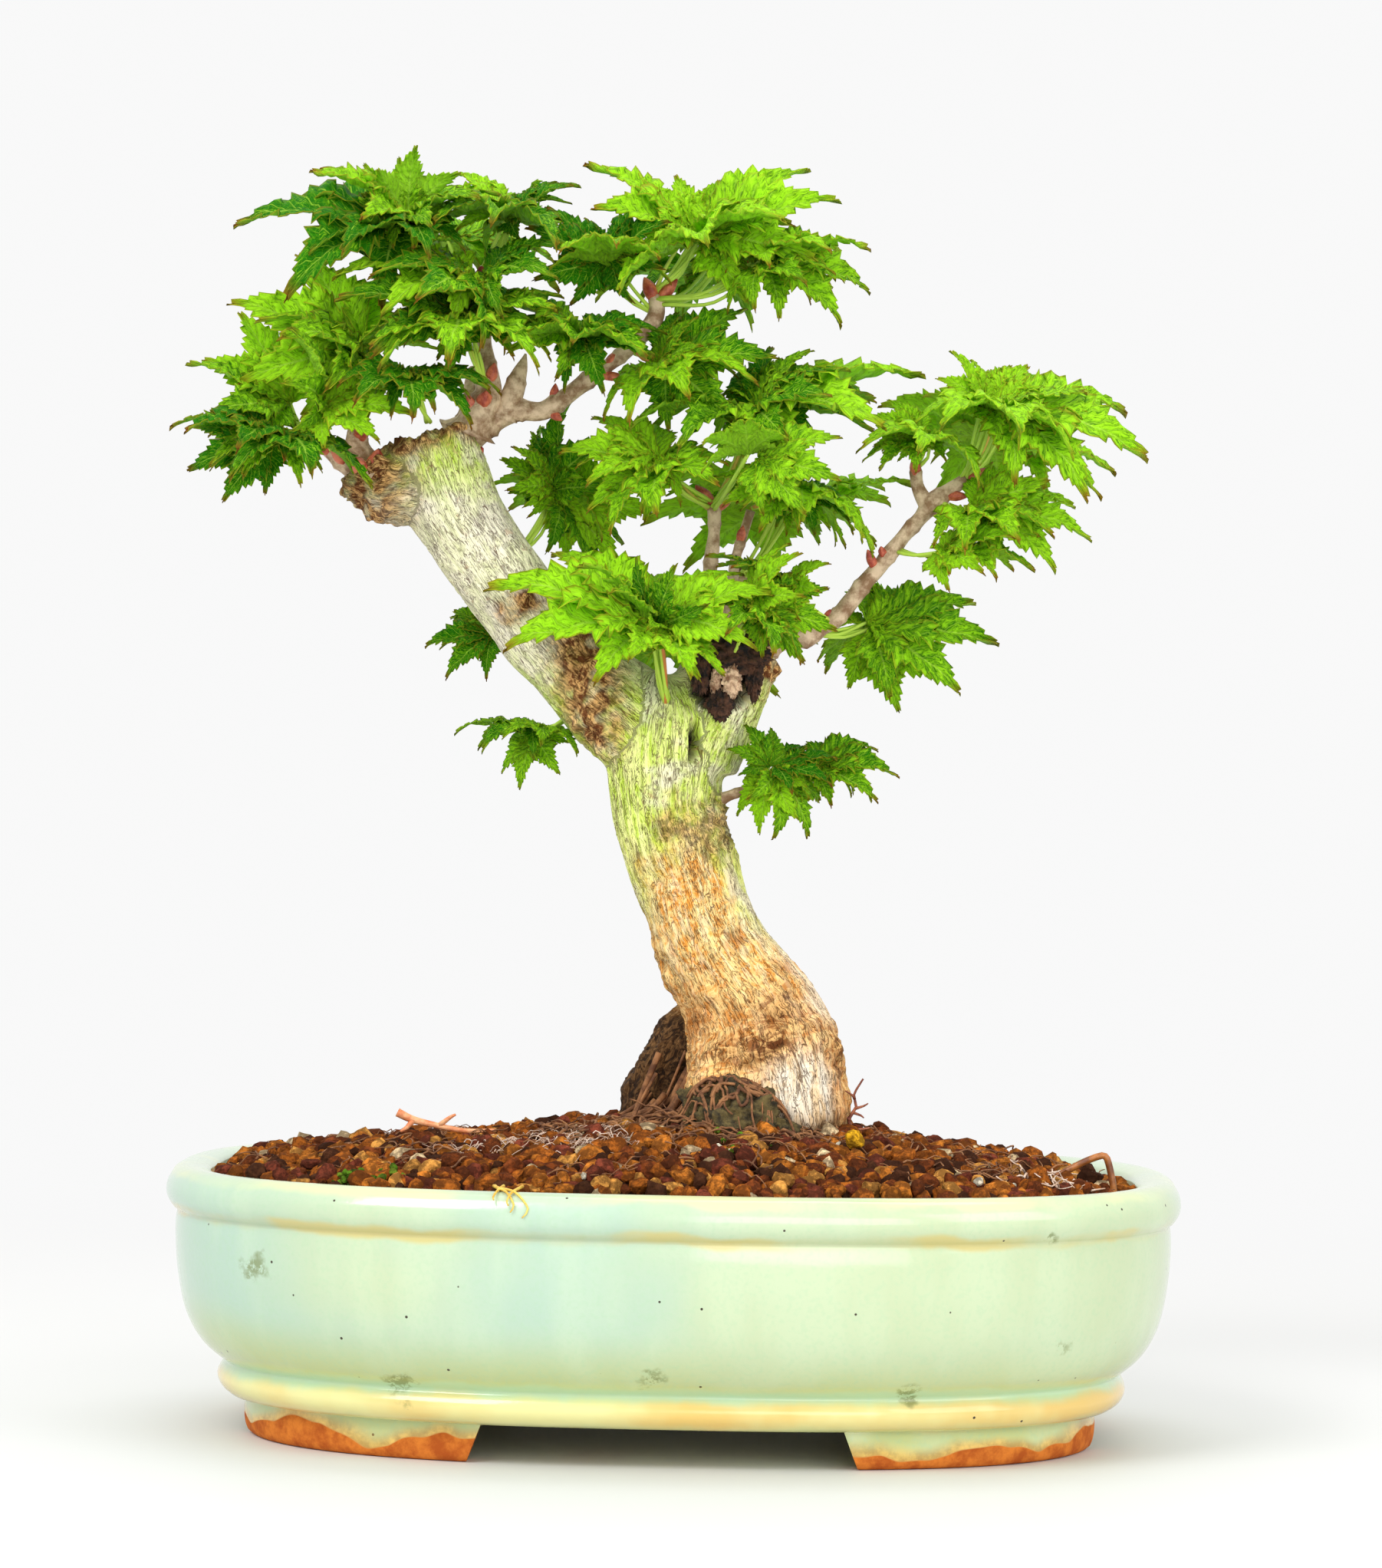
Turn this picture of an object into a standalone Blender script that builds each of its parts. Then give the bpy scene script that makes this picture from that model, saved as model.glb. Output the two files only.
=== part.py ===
"""A small maple bonsai in an oval glazed pot.

Millimetres below, turned to metres at the end.  +Z is up, -Y is the display
front, and the origin is on the table under the middle of the pot.  The pot is
one fired clay piece, the wood is one grown piece, and every tuft of leaves,
the soil, the drain meshes and the wires are pieces of their own.
"""
import math

import bmesh
import bpy
from mathutils import Matrix, Vector
from mathutils.bvhtree import BVHTree

MM = 0.001
GAP = 0.3                 # clearance between pieces that touch

# Pot, from the table up
POT_LENGTH = 250.0
POT_WIDTH = 186.0
POT_HEIGHT = 65.0
OVAL_POWER = 2.6          # 2 is an ellipse, more is squarer
POT_SIDES = 40
FOOT_HEIGHT = 9.3
FOOT_INSET = 20.5
FOOT_DEPTH = 9.0
FOOT_GAP_FRONT = 85.0     # opening between the feet along the front
FOOT_GAP_END = 36.0       # opening between the feet at each end
FOOT_SLOPE = 3.5          # how far a foot's end leans back
RIM_WIDTH = 11.0
FLOOR_THICK = 7.0
WALL_THICK = 8.0
DRAIN_RADIUS = 8.0
DRAIN_OFFSET = 50.0
WIRE_HOLE_RADIUS = 2.2
WIRE_HOLES_X = (66.0, 86.0)
WIRE_HOLES_Y = -20.0
DRILL_SIDES = 16

# Drain meshes and the wires
MESH_SIZE = 27.0
MESH_THICK = 1.2
MESH_BAR = 1.3
MESH_OPENINGS = 4
MESH_HEADROOM = 2.2       # room in the soil over a mesh for its clip
CLIP_WIRE_RADIUS = 0.6
CLIP_WING = 5.0           # how far a clip's ends reach past the drain hole
TIE_WIRE_RADIUS = 0.85

# Soil and tree
SOIL_MOUND = 15.0         # rise of the soil from the rim to the trunk
SOIL_BELOW_RIM = 1.5      # at the pot's wall
SOIL_END_DIP = 2.5        # extra drop at the right end
MOUND_SPREAD = 42.0       # half width of the heap round the trunk
MOUND_OFFSET = -12.0      # its middle, sideways from the trunk's foot
STALK_X = (-68.0, -62.0, -52.0)
STALK_Y = -8.0
STALK_RISE = 1.5          # the dry stalk climbs this much at each of its knots
CLUMP_CENTRE = (-6.0, -22.0, -4.0)
CLUMP_HALF_SIZE = (14.0, 9.0, 12.0)
TRUNK_GIRTH = 1.0         # thickness of all wood, as a factor
TREE_SIZE = 1.0           # spread and height of all that grows, as a factor
LEAF_THICK = 0.9
PETIOLE_RADIUS = 0.8
HUB_RADIUS = 1.5
REAR_LINE = 12.0          # leaves that start behind this face the back
LEAF_FACE = (0.75, 0.65)  # how far a leaf's upper side faces outwards and up

SOIL_FLOOR = FOOT_HEIGHT + FLOOR_THICK
TRUNK_FOOT = Vector((22.0, 0.0, POT_HEIGHT + SOIL_MOUND))

# Wood: one list of (x, y, z, radius) along each limb, root and twig, measured
# from the trunk's foot.  The first number of each row is the tube's smoothness.
WOOD = {
    "trunk": (4, [(4, 2, -38, 15), (3, 1, -18, 18), (2, 0, 0, 20), (0, 0, 12, 19.2),
                  (-3, 0, 21, 18.0), (-8, 0, 30, 15.0), (-13.5, 0, 39, 13.9),
                  (-17.5, 0, 48, 13.5), (-20, 0, 57, 13.4), (-23, 0, 65, 13.6),
                  (-25.5, 0, 74, 13.8), (-26, 0, 82, 14.8), (-26, 0, 90, 16.0),
                  (-25, 0, 97, 15.5)]),
    "left_limb": (4, [(-24, 0, 86, 13.5), (-36, 0, 97, 13.2), (-47, 1, 106, 11.6),
                      (-58.5, 2, 118, 10.8), (-66, 2, 127, 10.8), (-73, 3, 137, 11.0),
                      (-80, 3, 148, 11.8), (-87, 3, 167, 13.0)]),
    "callus": (3, [(-86, 2, 153, 9.5), (-98, 1, 152.5, 8.5), (-107, 0, 154.5, 5.5)]),
    "cut_stub": (4, [(-20, 1.3, 86, 12.7), (-15, 0.6, 99, 12.4), (-11, 0, 108, 12.0),
                     (-9, 0, 115, 10.5)]),
    "root_right": (3, [(6, -1, 20, 12), (10, -3, 8, 10), (11, -4, -6, 8.5), (13, -5, -22, 6)]),
    "root_left": (3, [(-14, 9, 25, 6.5), (-22, 12, 13, 7.5), (-27, 13, 3, 8.5),
                      (-32, 14, -14, 7)]),
    "root_front": (2, [(-6, -5, 20, 10), (-10, -12, 6, 9), (-13, -18, -12, 6)]),
    "root_back": (2, [(2, 9, 18, 11), (6, 18, 2, 9), (9, 25, -16, 6)]),
    "right_branch": (1, [(-9, 0, 110, 5), (2, 0, 116.5, 3.4), (9, 0, 117.5, 2.8),
                         (16, -1, 122.5, 2.2), (25, -2, 133.5, 2.0), (31, -2, 141, 1.9),
                         (38.5, -2, 150, 2.3), (47, -2, 156.5, 1.6)]),
    "right_spur": (1, [(38, -2, 149, 2.0), (35, -2, 155, 1.7), (34.5, -2, 159, 1.4)]),
    "top_branch": (1, [(-80, 3, 164, 6), (-70, 2, 170.5, 3.8), (-58, 1, 172, 2.5),
                       (-52, 0, 176, 2.2), (-43.4, 0, 182.4, 1.9), (-35, -1, 189.5, 1.8),
                       (-30.5, -1, 195, 2.1), (-30.5, -1, 201, 1.6)]),
    "left_shoot": (1, [(-76, 1, 166, 5), (-72, 0, 176, 2.8), (-73, 0, 190, 2.0),
                       (-74, 0, 206, 1.4)]),
    "callus_twig_up": (1, [(-100, 2, 155, 5), (-104, 2, 163, 2.6), (-103.6, 2, 170, 1.9)]),
    "callus_twig_out": (1, [(-100, 0, 154, 5), (-110, 0, 161, 2.4), (-115, -1, 163.5, 1.7)]),
    "middle_twig": (1, [(-16, 0, 108, 5), (-16, 0, 123, 2.4), (-15.7, 0, 133, 1.8),
                        (-15, 0, 148, 1.6)]),
    "thin_twig": (1, [(-13, 2, 112, 4), (-11, 2, 126, 1.8), (-9, 1, 138.5, 1.5),
                      (-6, 0, 148, 1.2)]),
    "low_shoot": (1, [(-16, 0, 74, 4), (-12, -2, 76.5, 1.6), (-4.4, -3, 79.5, 1.1)]),
    "rear_shoot_left": (1, [(-80, 6, 158, 6), (-79, 18, 170, 2.4), (-77, 27, 184, 1.6)]),
    "rear_shoot_right": (1, [(-12, 4, 106, 6), (-10, 16, 121, 2.4), (-8, 26, 134, 1.6)]),
}

# Leaves: each tuft is one stalk from the wood to a hub, and a blade from the
# hub to each tip, all measured from the trunk's foot.
TUFTS = {
    "leaves_crown_left": ((-74, -2, 204), (-92, -6, 217), [
        (-135, -8, 217), (-114, -22, 228), (-89, -14, 236), (-73, -26, 222), (-104, -36, 208)]),
    "leaves_crown_left_rear": ((-75, 4, 203), (-86, 20, 216), [
        (-121, 30, 213), (-92, 50, 214), (-58, 44, 214)]),
    "leaves_crown_middle": ((-73, 3, 206), (-67, -1, 219), [
        (-82, 12, 233), (-52, -6, 228), (-69, -34, 217), (-60, 20, 229)]),
    "leaves_round_bud": ((-74, -3, 199), (-74, -12, 205), [
        (-108, -24, 204), (-54, -30, 204), (-84, -44, 196)]),
    "leaves_left_shoot": ((-72, -3, 178), (-77, -14, 193), [
        (-107, -24, 200), (-53, -28, 196), (-79, -48, 182), (-98, -38, 185)]),
    "leaves_left_shoulder": ((-104, 2, 171), (-101, -1, 185), [
        (-135, -6, 200), (-121, -28, 189), (-93, -24, 194)]),
    "leaves_far_left_top": ((-115, 1, 166), (-121, 0, 172), [
        (-135, 4, 196), (-145, -8, 183), (-137, 24, 176)]),
    "leaves_far_left_low": ((-116, -3, 162), (-122, -10, 165), [
        (-145, -14, 156), (-129, -30, 153), (-110, -38, 154), (-144, -30, 166)]),
    "leaves_far_left_face": ((-110, -4, 164), (-113, -18, 171), [
        (-117, -30, 190), (-88, -24, 170)]),
    "leaves_inner_left": ((-86, -12, 170), (-91, -18, 180), [
        (-70, -34, 176), (-86, -44, 168)]),
    "leaves_behind_limb": ((-62, 13, 138), (-56, 16, 152), [
        (-61, 22, 169), (-53, 18, 176), (-31, 22, 147), (-38, 30, 141), (-52, 44, 142)]),
    "leaves_crown_right": ((-30, -1, 203), (-21, -4, 214), [
        (-48, -8, 233), (-26, 4, 232), (0, 0, 231), (14, -14, 224), (-20, -42, 210)]),
    "leaves_crown_right_end": ((-29, -3, 200), (-6, -10, 208), [
        (22, -12, 214), (23, -4, 204), (6, -30, 202), (4, 14, 214)]),
    "leaves_crown_right_rear": ((-29, 3, 199), (-16, 18, 211), [
        (14, 30, 210), (-18, 50, 210), (-48, 42, 208)]),
    "leaves_crown_right_left": ((-32, 0, 198), (-43, -6, 208), [
        (-62, -14, 215), (-40, -34, 212), (-28, -20, 218)]),
    "leaves_row": ((-45, -2, 185), (-48, -10, 190), [
        (-72, -18, 198), (-30, -24, 184), (-50, -42, 186)]),
    "leaves_row_end": ((-34, -3, 186), (-30, -6, 183), [
        (-20, -10, 195), (0, -12, 185), (-20, -34, 176)]),
    "leaves_middle_top": ((-15, -1, 150), (-6, -8, 172), [
        (8, -8, 188), (36, -6, 183), (-36, -14, 170), (14, -30, 176), (24, 8, 178)]),
    "leaves_middle_face": ((-14, -4, 149), (-6, -26, 160), [
        (16, -38, 154), (-8, -44, 168)]),
    "leaves_middle_left": ((-17, -2, 150), (-28, -8, 160), [
        (-53, -12, 162), (-45, -22, 153), (-28, -36, 146), (-30, 16, 156)]),
    "leaves_middle_right": ((-5, -2, 150), (3, -8, 153), [
        (19, -14, 146), (-13, -22, 149), (22, -30, 142)]),
    "leaves_middle_rear": ((-8, 20, 136), (2, 22, 150), [
        (34, 22, 158), (20, 44, 148), (-20, 48, 152), (-34, 28, 148)]),
    "leaves_right_top": ((46, -3, 160), (52, -6, 174), [
        (43, -8, 188), (58, 4, 186), (92, -8, 163), (76, -10, 178), (58, -38, 168)]),
    "leaves_right_top_left": ((35, -2, 161), (37, -6, 166), [
        (23, -8, 172), (25, -18, 158), (36, -34, 162)]),
    "leaves_right_rear": ((45, 1, 158), (54, 16, 168), [
        (86, 28, 162), (58, 48, 164), (28, 38, 168)]),
    "leaves_right_low": ((42, -4, 151), (48, -6, 149), [
        (78, -10, 142), (67, -16, 155), (60, -30, 141)]),
    "leaves_right_side": ((33, -5, 138), (40, -10, 137), [
        (64, -14, 134), (58, -24, 142)]),
    "leaves_right_under": ((11, 3, 119), (22, 8, 120), [
        (44, 10, 106), (56, 6, 115), (44, 24, 122), (24, 32, 112)]),
    "leaves_branch_left": ((12, -4, 122), (3, -12, 128), [
        (-16, -16, 137), (11, -26, 128)]),
    "leaves_fork_front": ((-26, -17, 103), (-28, -26, 118), [
        (-70, -22, 129), (-45, -34, 134), (-24, -40, 133), (0, -30, 127), (-20, -48, 106)]),
    "leaves_fork_right": ((-13, -14, 110), (-6, -20, 124), [
        (16, -20, 118), (2, -38, 112), (6, -30, 136)]),
    "leaves_fork_rear": ((-24, 17, 100), (-20, 28, 116), [
        (-50, 40, 118), (-20, 56, 112), (10, 44, 116)]),
    "leaves_limb_back": ((-62, 12, 116), (-70, 16, 117), [
        (-88, 18, 115), (-82, 24, 123), (-66, 40, 112)]),
    "leaves_limb_under": ((-52, 8, 95), (-58, 8, 93), [
        (-79, 6, 93), (-62, 4, 78), (-56, -10, 90)]),
    "leaves_low_right": ((-3.5, -3.5, 80), (1, -9, 84), [
        (-7, -8, 95), (-3, -12, 68), (10, -6, 67), (9, 8, 88)]),
    "leaves_low_right_out": ((-3.5, -1, 80.5), (10, 3, 85), [
        (32, 2, 84), (22, 18, 80)]),
}

COLOURS = {
    "pot": ((0.62, 0.80, 0.66), 0.15, 0.0),
    "soil": ((0.20, 0.08, 0.04), 0.95, 0.0),
    "wood": ((0.52, 0.42, 0.28), 0.75, 0.0),
    "leaf": ((0.14, 0.42, 0.04), 0.5, 0.0),
    "clump": ((0.07, 0.06, 0.03), 0.95, 0.0),
    "mesh": ((0.03, 0.03, 0.03), 0.6, 0.0),
    "wire": ((0.28, 0.13, 0.06), 0.4, 0.8),
    "stick": ((0.75, 0.38, 0.22), 0.7, 0.0),
}

# ---------------------------------------------------------------- helpers


def clear_scene():
    for old in list(bpy.data.objects):
        bpy.data.objects.remove(old, do_unlink=True)


def collection(name):
    made = bpy.data.collections.new(name)
    bpy.context.scene.collection.children.link(made)
    return made


def material(name):
    colour, roughness, metallic = COLOURS[name]
    made = bpy.data.materials.new(name)
    made.use_nodes = True
    shader = made.node_tree.nodes["Principled BSDF"]
    shader.inputs["Base Color"].default_value = (*colour, 1.0)
    shader.inputs["Roughness"].default_value = roughness
    shader.inputs["Metallic"].default_value = metallic
    return made


def link(name, mesh, where):
    made = bpy.data.objects.new(name, mesh)
    where.objects.link(made)
    return made


def to_mesh(source, name, where, flat=False):
    """The evaluated object as a welded mesh of its own; the source is removed.

    Unless its faces are all flat they are split into triangles, which cut cleanly.
    """
    bpy.context.view_layer.update()
    depsgraph = bpy.context.evaluated_depsgraph_get()
    mesh = bpy.data.meshes.new_from_object(source.evaluated_get(depsgraph))
    welded = bmesh.new()
    welded.from_mesh(mesh)
    bmesh.ops.remove_doubles(welded, verts=welded.verts, dist=1e-4)
    bmesh.ops.recalc_face_normals(welded, faces=welded.faces)
    if not flat:
        bmesh.ops.triangulate(welded, faces=welded.faces)
    welded.to_mesh(mesh)
    welded.free()
    placed = source.matrix_world.copy()
    bpy.data.objects.remove(source, do_unlink=True)
    made = link(name, mesh, where)
    made.matrix_world = placed
    return made


def tube(name, points, where, resolution=1, grow=0.0):
    """A tapered tube through (x, y, z, radius) points, its ends carried on by grow."""
    curve = bpy.data.curves.new(name, "CURVE")
    curve.dimensions = "3D"
    curve.bevel_depth = 1.0
    curve.bevel_resolution = resolution
    curve.use_fill_caps = True
    places = [Vector(point[:3]) for point in points]
    first = places[0] - (places[1] - places[0]).normalized() * grow
    last = places[-1] + (places[-1] - places[-2]).normalized() * grow
    places = [first] + places[1:-1] + [last]
    spline = curve.splines.new("POLY")
    spline.points.add(len(places) - 1)
    for knot, place, point in zip(spline.points, places, points):
        knot.co = (*place, 1.0)
        knot.radius = point[3] + grow
    return to_mesh(link(name, curve, where), name, where)


def block(name, low, high, where):
    bpy.ops.mesh.primitive_cube_add(size=1.0)
    made = bpy.context.object
    made.name = name
    for old in list(made.users_collection):
        old.objects.unlink(made)
    where.objects.link(made)
    low, high = Vector(low), Vector(high)
    size = Matrix.Diagonal((*(high - low), 1.0))
    made.data.transform(Matrix.Translation((low + high) / 2) @ size)
    return made


def boolean(target, tool, operation, keep_tool=False):
    cut = target.modifiers.new(operation.lower(), "BOOLEAN")
    cut.operation = operation
    cut.object = tool
    cut.solver = "EXACT"
    bpy.context.view_layer.update()
    depsgraph = bpy.context.evaluated_depsgraph_get()
    mesh = bpy.data.meshes.new_from_object(target.evaluated_get(depsgraph))
    target.modifiers.clear()
    target.data = mesh
    if not keep_tool:
        bpy.data.objects.remove(tool, do_unlink=True)


def tree_of(target):
    made = bmesh.new()
    made.from_mesh(target.data)
    tree = BVHTree.FromBMesh(made)
    made.free()
    return tree


# ---------------------------------------------------------------- pot


def oval(radius, angle):
    """The pot's oval where a round pot of the same length would have this radius."""
    half_length = POT_LENGTH / 2
    slimmer = (POT_LENGTH - POT_WIDTH) / 2
    turn = half_length * 0.65
    if radius > turn:
        half_width = radius - slimmer
    else:
        half_width = radius * (turn - slimmer) / turn
    cosine, sine = math.cos(angle), math.sin(angle)
    power = 2.0 / OVAL_POWER
    x = math.copysign(abs(cosine) ** power, cosine) * radius
    y = math.copysign(abs(sine) ** power, sine) * half_width
    return x, y


def turned_oval(name, profile, where):
    """A (radius, height) profile, outer side first, screwed round and made oval."""
    edge = bmesh.new()
    knots = [edge.verts.new((radius, 0.0, height)) for radius, height in profile]
    for start, end in zip(knots, knots[1:]):
        if start.co.x or end.co.x:
            edge.edges.new((start, end))
    mesh = bpy.data.meshes.new(name)
    edge.to_mesh(mesh)
    edge.free()
    source = link(name, mesh, where)
    screw = source.modifiers.new("turn", "SCREW")
    screw.steps = POT_SIDES
    screw.render_steps = POT_SIDES
    screw.use_merge_vertices = True
    screw.merge_threshold = 0.0001
    made = to_mesh(source, name, where)
    for vertex in made.data.vertices:
        radius = math.hypot(vertex.co.x, vertex.co.y)
        if radius > 1e-6:
            angle = math.atan2(vertex.co.y, vertex.co.x)
            vertex.co.x, vertex.co.y = oval(radius, angle)
    return made


def pot_profile():
    """Outer side from the rim down to the middle of the underside, then the inside."""
    outer = POT_LENGTH / 2
    top, foot = POT_HEIGHT, FOOT_HEIGHT
    body = top - foot
    outside = [(3.0, top), (0.6, top - 3.0), (0.0, top - 6.0), (1.2, top - 9.5),
               (2.7, top - 11.5), (2.5, top - 15.0), (3.5, foot + 0.46 * body),
               (6.0, foot + 0.32 * body), (9.5, foot + 0.23 * body), (14.5, foot + 8.2),
               (13.2, foot + 5.5), (13.8, foot + 3.2), (18.0, foot)]
    inside = [(0.0, SOIL_FLOOR), (outer - 30.0, SOIL_FLOOR), (outer - 14.5 - WALL_THICK, SOIL_FLOOR + 3.0),
              (outer - 6.0 - WALL_THICK, foot + 0.4 * body), (outer - RIM_WIDTH - 0.8, top - 8.0),
              (outer - RIM_WIDTH, top - 1.2), (outer - RIM_WIDTH + 2.0, top)]
    shell = [(outer - inset, height) for inset, height in outside]
    return shell + [(0.0, foot)], inside


def feet(where):
    """The foot ring, cut into four feet by a gap in front, behind and at each end."""
    outer = POT_LENGTH / 2 - FOOT_INSET
    inner = outer - FOOT_DEPTH
    top = FOOT_HEIGHT + FLOOR_THICK / 3
    ring = turned_oval("foot_ring", [(outer, top), (outer - 1.5, 0.0), (inner + 1.0, 0.0),
                                     (inner, top), (outer, top)], where)
    for gap, along in ((FOOT_GAP_FRONT, "Y"), (FOOT_GAP_END, "X")):
        cutter = block("foot_gap", (-gap / 2, -POT_LENGTH, -1.0),
                       (gap / 2, POT_LENGTH, FOOT_HEIGHT + 0.6), where)
        for vertex in cutter.data.vertices:
            if vertex.co.z < 0.0:
                vertex.co.x += math.copysign(FOOT_SLOPE, vertex.co.x)
        if along == "X":
            cutter.data.transform(Matrix.Rotation(math.pi / 2, 4, "Z"))
        boolean(ring, cutter, "DIFFERENCE")
    return ring


def drill(target, x, y, radius):
    bpy.ops.mesh.primitive_cylinder_add(vertices=DRILL_SIDES, radius=radius, depth=4 * FLOOR_THICK)
    bit = bpy.context.object
    bit.data.transform(Matrix.Translation((x, y, SOIL_FLOOR)))
    boolean(target, bit, "DIFFERENCE")


def build_pot(parts, scratch):
    shell, inside = pot_profile()
    closed = turned_oval("pot", shell + inside + [shell[0]], parts)
    boolean(closed, feet(scratch), "UNION")
    for side in (-1, 1):
        drill(closed, side * DRAIN_OFFSET, 0.0, DRAIN_RADIUS)
    for x in WIRE_HOLES_X:
        drill(closed, x, WIRE_HOLES_Y, WIRE_HOLE_RADIUS)
    return closed


# ---------------------------------------------------------------- meshes and wires


def build_drain_mesh(name, x, parts, scratch):
    """A square of plastic netting that keeps the soil out of a drain hole."""
    half = MESH_SIZE / 2
    low = SOIL_FLOOR + GAP
    made = block(name, (x - half, -half, low), (x + half, half, low + MESH_THICK), parts)
    pitch = (MESH_SIZE - MESH_BAR) / MESH_OPENINGS
    opening = pitch - MESH_BAR
    for row in range(MESH_OPENINGS):
        for column in range(MESH_OPENINGS):
            left = x - half + MESH_BAR + column * pitch
            front = -half + MESH_BAR + row * pitch
            hole = block("opening", (left, front, low - 1.0),
                         (left + opening, front + opening, low + MESH_THICK + 1.0), scratch)
            boolean(made, hole, "DIFFERENCE")
    return made


def clip_route(x):
    """Under the pot, up through the drain, over the netting and down again."""
    pitch = (MESH_SIZE - MESH_BAR) / MESH_OPENINGS
    leg = pitch / 2 + MESH_BAR / 4
    under = FOOT_HEIGHT - CLIP_WIRE_RADIUS - GAP
    over = SOIL_FLOOR + MESH_THICK + 2 * GAP + CLIP_WIRE_RADIUS
    wing = DRAIN_RADIUS + CLIP_WING
    side = x + leg
    return [(side, -wing, under), (side, -leg - 1.0, under), (side, -leg, under + 1.2),
            (side, -leg, over - 1.0), (side, -leg + 0.9, over), (side, leg - 0.9, over),
            (side, leg, over - 1.0), (side, leg, under + 1.2), (side, leg + 1.0, under),
            (side, wing, under)]


def tie_wire_route():
    """Up through one wire hole, bent over at the pot's end, and down the other hole."""
    under = FOOT_HEIGHT - TIE_WIRE_RADIUS - GAP
    near, far = WIRE_HOLES_X
    end = POT_LENGTH / 2
    y = WIRE_HOLES_Y
    return [(near, y, SOIL_FLOOR + 24.0), (near, y, under + 1.5), (near + 1.5, y, under),
            (far - 1.5, y, under), (far, y, under + 1.5), (far, y, POT_HEIGHT - 12.0),
            (end - 34.0, y, POT_HEIGHT - 2.0), (end - 27.0, y, POT_HEIGHT + 3.4),
            (end - 20.5, y, POT_HEIGHT + 6.2), (end - 19.2, y, POT_HEIGHT + 5.0),
            (end - 17.5, y, POT_HEIGHT - 4.0)]


def wire(name, route, radius, where, grow=0.0):
    return tube(name, [(*point, radius) for point in route], where, 1, grow)


# ---------------------------------------------------------------- wood


def tree_point(point):
    return TRUNK_FOOT + Vector(point) * TREE_SIZE


def build_wood(name, where, grow=0.0):
    """All limbs, roots and twigs as one grown piece."""
    whole = None
    for limb, (resolution, points) in WOOD.items():
        placed = [(*tree_point(point[:3]), point[3] * TREE_SIZE * TRUNK_GIRTH) for point in points]
        piece = tube(limb, placed, where, resolution, grow)
        if whole is None:
            whole = piece
        else:
            boolean(whole, piece, "UNION")
    whole.name = name
    return whole


# ---------------------------------------------------------------- soil


def soil_height(x, y):
    """Mounded to the trunk, level with the rim in front, and low at the right end."""
    half_length = POT_LENGTH / 2 - RIM_WIDTH
    half_width = POT_WIDTH / 2 - RIM_WIDTH
    along = min(abs(x) / half_length, 1.0)
    across = min(abs(y) / half_width, 1.0)
    heap = math.exp(-((x - TRUNK_FOOT.x - MOUND_OFFSET) / MOUND_SPREAD) ** 2)
    rise = SOIL_MOUND * (0.6 * (1.0 - along ** 3) + 0.4 * heap - 0.1) * (1.0 - across ** 2)
    dip = SOIL_END_DIP * max(0.0, x / half_length) ** 4
    return POT_HEIGHT - SOIL_BELOW_RIM + rise - dip


def build_soil(parts, wood_cutter, tools):
    outer = POT_LENGTH / 2
    body = POT_HEIGHT - FOOT_HEIGHT
    top_edge = outer - RIM_WIDTH - 0.8 - GAP
    rings = [0.0, 0.2, 0.4, 0.6, 0.78, 0.92, 1.0]
    top = [(top_edge * share, POT_HEIGHT) for share in reversed(rings)]
    bottom = [(0.0, SOIL_FLOOR + GAP), (outer - 31.0, SOIL_FLOOR + GAP),
              (outer - 15.0 - WALL_THICK - GAP, SOIL_FLOOR + 3.4),
              (outer - 6.4 - WALL_THICK - GAP, FOOT_HEIGHT + 0.4 * body),
              (top_edge, POT_HEIGHT - 8.0)]
    soil = turned_oval("soil", top + bottom + [top[0]], parts)
    for vertex in soil.data.vertices:
        if vertex.co.z > POT_HEIGHT - 0.5:
            vertex.co.z = soil_height(vertex.co.x, vertex.co.y)
    boolean(soil, wood_cutter, "DIFFERENCE", keep_tool=True)
    for tool in tools:
        boolean(soil, tool, "DIFFERENCE")
    return soil


# ---------------------------------------------------------------- leaves

# Lobe tips and the notches between them, as (angle in degrees, share of the length)
HALF_LEAF = ((0.0, 1.0), (22.0, 0.45), (45.0, 0.86), (84.0, 0.3), (150.0, 0.06))


def leaf_outline():
    left = [(math.radians(angle), share) for angle, share in HALF_LEAF]
    right = [(-angle, share) for angle, share in reversed(left[1:])]
    return [(math.cos(angle) * share, math.sin(angle) * share) for angle, share in left + right]


def blade(where, hub, tip, roll, size):
    """A five-lobed plate from the hub to the tip, leaning up and outwards."""
    curve = bpy.data.curves.new("blade", "CURVE")
    curve.dimensions = "2D"
    curve.fill_mode = "BOTH"
    along = tip - hub
    length = along.length * size
    curve.extrude = LEAF_THICK / 2
    spline = curve.splines.new("POLY")
    outline = leaf_outline()
    spline.points.add(len(outline) - 1)
    for knot, (x, y) in zip(spline.points, outline):
        knot.co = (x * length, y * length, 0.0, 1.0)
    spline.use_cyclic_u = True
    made = to_mesh(link("blade", curve, where), "blade", where, flat=True)
    joined = bmesh.new()
    joined.from_mesh(made.data)
    bmesh.ops.dissolve_limit(joined, angle_limit=math.radians(1), verts=joined.verts,
                             edges=joined.edges)
    joined.to_mesh(made.data)
    joined.free()
    along.normalize()
    outwards = -1.0 if hub.y < REAR_LINE else 1.0
    face = Vector((0.0, LEAF_FACE[0] * outwards, LEAF_FACE[1]))
    face = (face - along * face.dot(along)).normalized()
    face = Matrix.Rotation(roll, 3, along) @ face
    side = face.cross(along)
    turn = Matrix((along, side, face)).transposed().to_4x4()
    made.data.transform(Matrix.Translation(hub) @ turn)
    return made


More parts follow.
